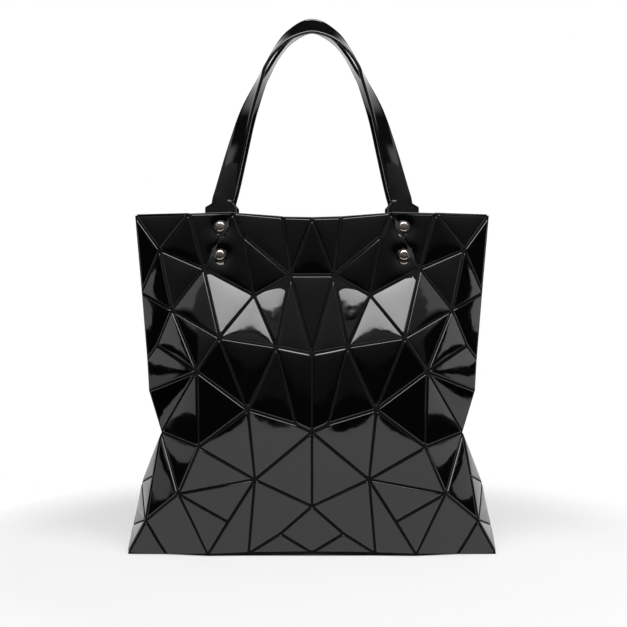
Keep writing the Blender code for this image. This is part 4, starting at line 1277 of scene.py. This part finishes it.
rivet_metal = polished_metal("rivet_metal", RIVET_SILVER, RIVET_DULL, RIVET_ROUGHNESS)
for node in sorted(CAD):
    if node.endswith("_rivet"):
        _, _, out_way = foot_place("_".join(node.split("_")[:2] + ["handle_foot"]))
        reach = [v.co.dot(out_way) for v in CAD[node].data.vertices]
        tip = CAD[node].data.vertices[reach.index(max(reach))].co
        rivet = object_of(f"{node}_turned", rivet_mesh(node, max(reach) - min(reach)), rivet_metal)
        rivet.data.set_sharp_from_angle(angle=RIM_ANGLE)
        aim = out_way.to_track_quat("Z", "Y").to_matrix().to_4x4()
        rivet.matrix_world = Matrix.Translation(tip) @ aim
        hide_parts(node)
        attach(rivet, "bag")
    if node.endswith("_burr"):
        CAD[node].data.materials.clear()
        CAD[node].data.materials.append(rivet_metal)


# The zip pocket. A flat twill pouch is sewn to the facing at the back; a closed coil zip
# on woven tape shuts its window, with a plated slider and pull.

POUCH_GRID = 0.004
POUCH_HEM = 0.0040
POUCH_FOLD = 0.002
POUCH_EDGE_SHARE = 0.35
POUCH_PUFF = 0.00045
POUCH_SINK = 0.0003
RIPPLE_SIZE, RIPPLE_LAYER = (0.03, 0.018), 2.0
WINDOW_GAP = 0.0003
WINDOW_FLAT = 0.006
WINDOW_SEAM = 0.002
SEAM_STEPS = 24
SEAM_SIGHT = -0.01
TAPE_BLACK = (0.012, 0.012, 0.014)
TAPE_PITCH = 0.0006
NICKEL = (0.45, 0.44, 0.43)
NICKEL_DULL = (0.26, 0.25, 0.25)
NICKEL_ROUGHNESS = (0.22, 0.36)
TUMBLED_EDGE = 0.0002
FLAT_CAST_ANGLE = math.radians(1)
TUMBLED_ANGLE = math.radians(35)
SHARP_CAST_ANGLE = math.radians(50)

pouch_low, pouch_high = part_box("pocket_pouch")
tape_low, tape_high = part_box("pocket_zip")
window_low = Vector((tape_low.x - WINDOW_GAP, 0, tape_low.z - WINDOW_GAP))
window_high = Vector((tape_high.x + WINDOW_GAP, 0, tape_high.z + WINDOW_GAP))


def lines_between(axis):
    """Grid lines over the pouch on one axis that pass through its window and its hem folds."""
    low, high = pouch_low[axis], pouch_high[axis]
    stops = {low, high, low + POUCH_FOLD, high - POUCH_FOLD, window_low[axis], window_high[axis]}
    stops = sorted(stops)
    lines = []
    for a, b in zip(stops, stops[1:]):
        steps = max(int(math.ceil((b - a) / POUCH_GRID)), 1)
        lines += [a + (b - a) * step / steps for step in range(steps)]
    return lines + [high]


def in_window(x, z, border=0.0):
    """Whether a place lies in the pouch's window, or in a border round it."""
    across = window_low.x - border < x < window_high.x + border
    return across and window_low.z - border < z < window_high.z + border


pouch = bmesh.new()
xs, zs = lines_between(0), lines_between(2)
half_depth = (pouch_high.y - pouch_low.y) / 2
centre_y = (pouch_high.y + pouch_low.y) / 2
layers = {}
for layer in (-1, 1):
    for i, x in enumerate(xs):
        for j, z in enumerate(zs):
            edge = min(x - pouch_low.x, pouch_high.x - x, z - pouch_low.z, pouch_high.z - z)
            soft = min(edge / POUCH_HEM, 1)
            swell = POUCH_EDGE_SHARE + (1 - POUCH_EDGE_SHARE) * math.sin(soft * math.pi / 2)
            puff = half_depth * swell
            if layer < 0 and not in_window(x, z, WINDOW_FLAT):
                ripple = noise.noise((x / RIPPLE_SIZE[0], z / RIPPLE_SIZE[1], RIPPLE_LAYER)) * soft
                puff += POUCH_PUFF * ripple - POUCH_SINK
            layers[layer, i, j] = pouch.verts.new((x, centre_y + layer * puff, z))
for layer in (-1, 1):
    for i in range(len(xs) - 1):
        for j in range(len(zs) - 1):
            if layer < 0 and in_window((xs[i] + xs[i + 1]) / 2, (zs[j] + zs[j + 1]) / 2):
                continue
            square = ((i, j), (i + 1, j), (i + 1, j + 1), (i, j + 1))
            pouch.faces.new([layers[layer, a, b] for a, b in square][::-layer])
rim = [((i, j), (i + 1, j), way) for i in range(len(xs) - 1) for j, way in ((0, 1), (len(zs) - 1, -1))]
rim += [((i, j), (i, j + 1), way) for j in range(len(zs) - 1) for i, way in ((0, -1), (len(xs) - 1, 1))]
for one, other, way in rim:
    square = [layers[(-1, *one)], layers[(1, *one)], layers[(1, *other)], layers[(-1, *other)]]
    pouch.faces.new(square[::way])
bmesh.ops.recalc_face_normals(pouch, faces=pouch.faces)
pouch = object_of("pocket_pouch_cloth", mesh_from(pouch, "pocket_pouch_cloth"), lining_twill)


def seam_frame(low, high, inset):
    """Corners of an upright rectangle that is drawn in by the inset."""
    low_x, low_z, high_x, high_z = low.x + inset, low.z + inset, high.x - inset, high.z - inset
    places = ((low_x, low_z), (high_x, low_z), (high_x, high_z), (low_x, high_z))
    return [Vector((x, 0, z)) for x, z in places]


edge_seam = seam_frame(pouch_low, pouch_high, POUCH_HEM)
window_seam = seam_frame(window_low, window_high, -WINDOW_SEAM)
verts, faces = [], []
for ring in (edge_seam, window_seam):
    for a, b in zip(ring, ring[1:] + ring[:1]):
        row = []
        for step in range(SEAM_STEPS + 1):
            spot = a.lerp(b, step / SEAM_STEPS)
            hit, place, _, _ = pouch.ray_cast(Vector((spot.x, SEAM_SIGHT, spot.z)), Vector((0, 1, 0)))
            row.append(place if hit else Vector((spot.x, pouch_low.y, spot.z)))
        more_verts, more_faces = stitch_row(row, [Vector((0, -1, 0))] * len(row))
        faces += [tuple(i + len(verts) for i in face) for face in more_faces]
        verts += more_verts
pouch_stitches = object_of("pocket_stitches", mesh_of("pocket_stitches", verts, faces), thread)
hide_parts("pocket_pouch")
for piece in (pouch, pouch_stitches):
    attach(piece, "bag")

zip_tape = mesh_cloth("zip_tape", TAPE_BLACK, TAPE_PITCH)
CAD["pocket_zip"].data.materials.clear()
CAD["pocket_zip"].data.materials.append(zip_tape)
zip_metal = polished_metal("zip_metal", NICKEL, NICKEL_DULL, NICKEL_ROUGHNESS)
for node, body in (("pocket_slider", "zip_slider"), ("pocket_pull", "zip_pull")):
    cast = merged_solid(node)
    bmesh.ops.dissolve_limit(cast, angle_limit=FLAT_CAST_ANGLE, verts=cast.verts, edges=cast.edges)
    sharp = [e for e in cast.edges if e.is_manifold and e.calc_face_angle() > TUMBLED_ANGLE]
    bmesh.ops.bevel(cast, geom=sharp, offset=TUMBLED_EDGE, segments=2, affect="EDGES", profile=0.5)
    metal_piece = object_of(f"{node}_cast", mesh_from(cast, f"{node}_cast"), zip_metal)
    metal_piece.data.set_sharp_from_angle(angle=SHARP_CAST_ANGLE)
    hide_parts(node)
    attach(metal_piece, body)
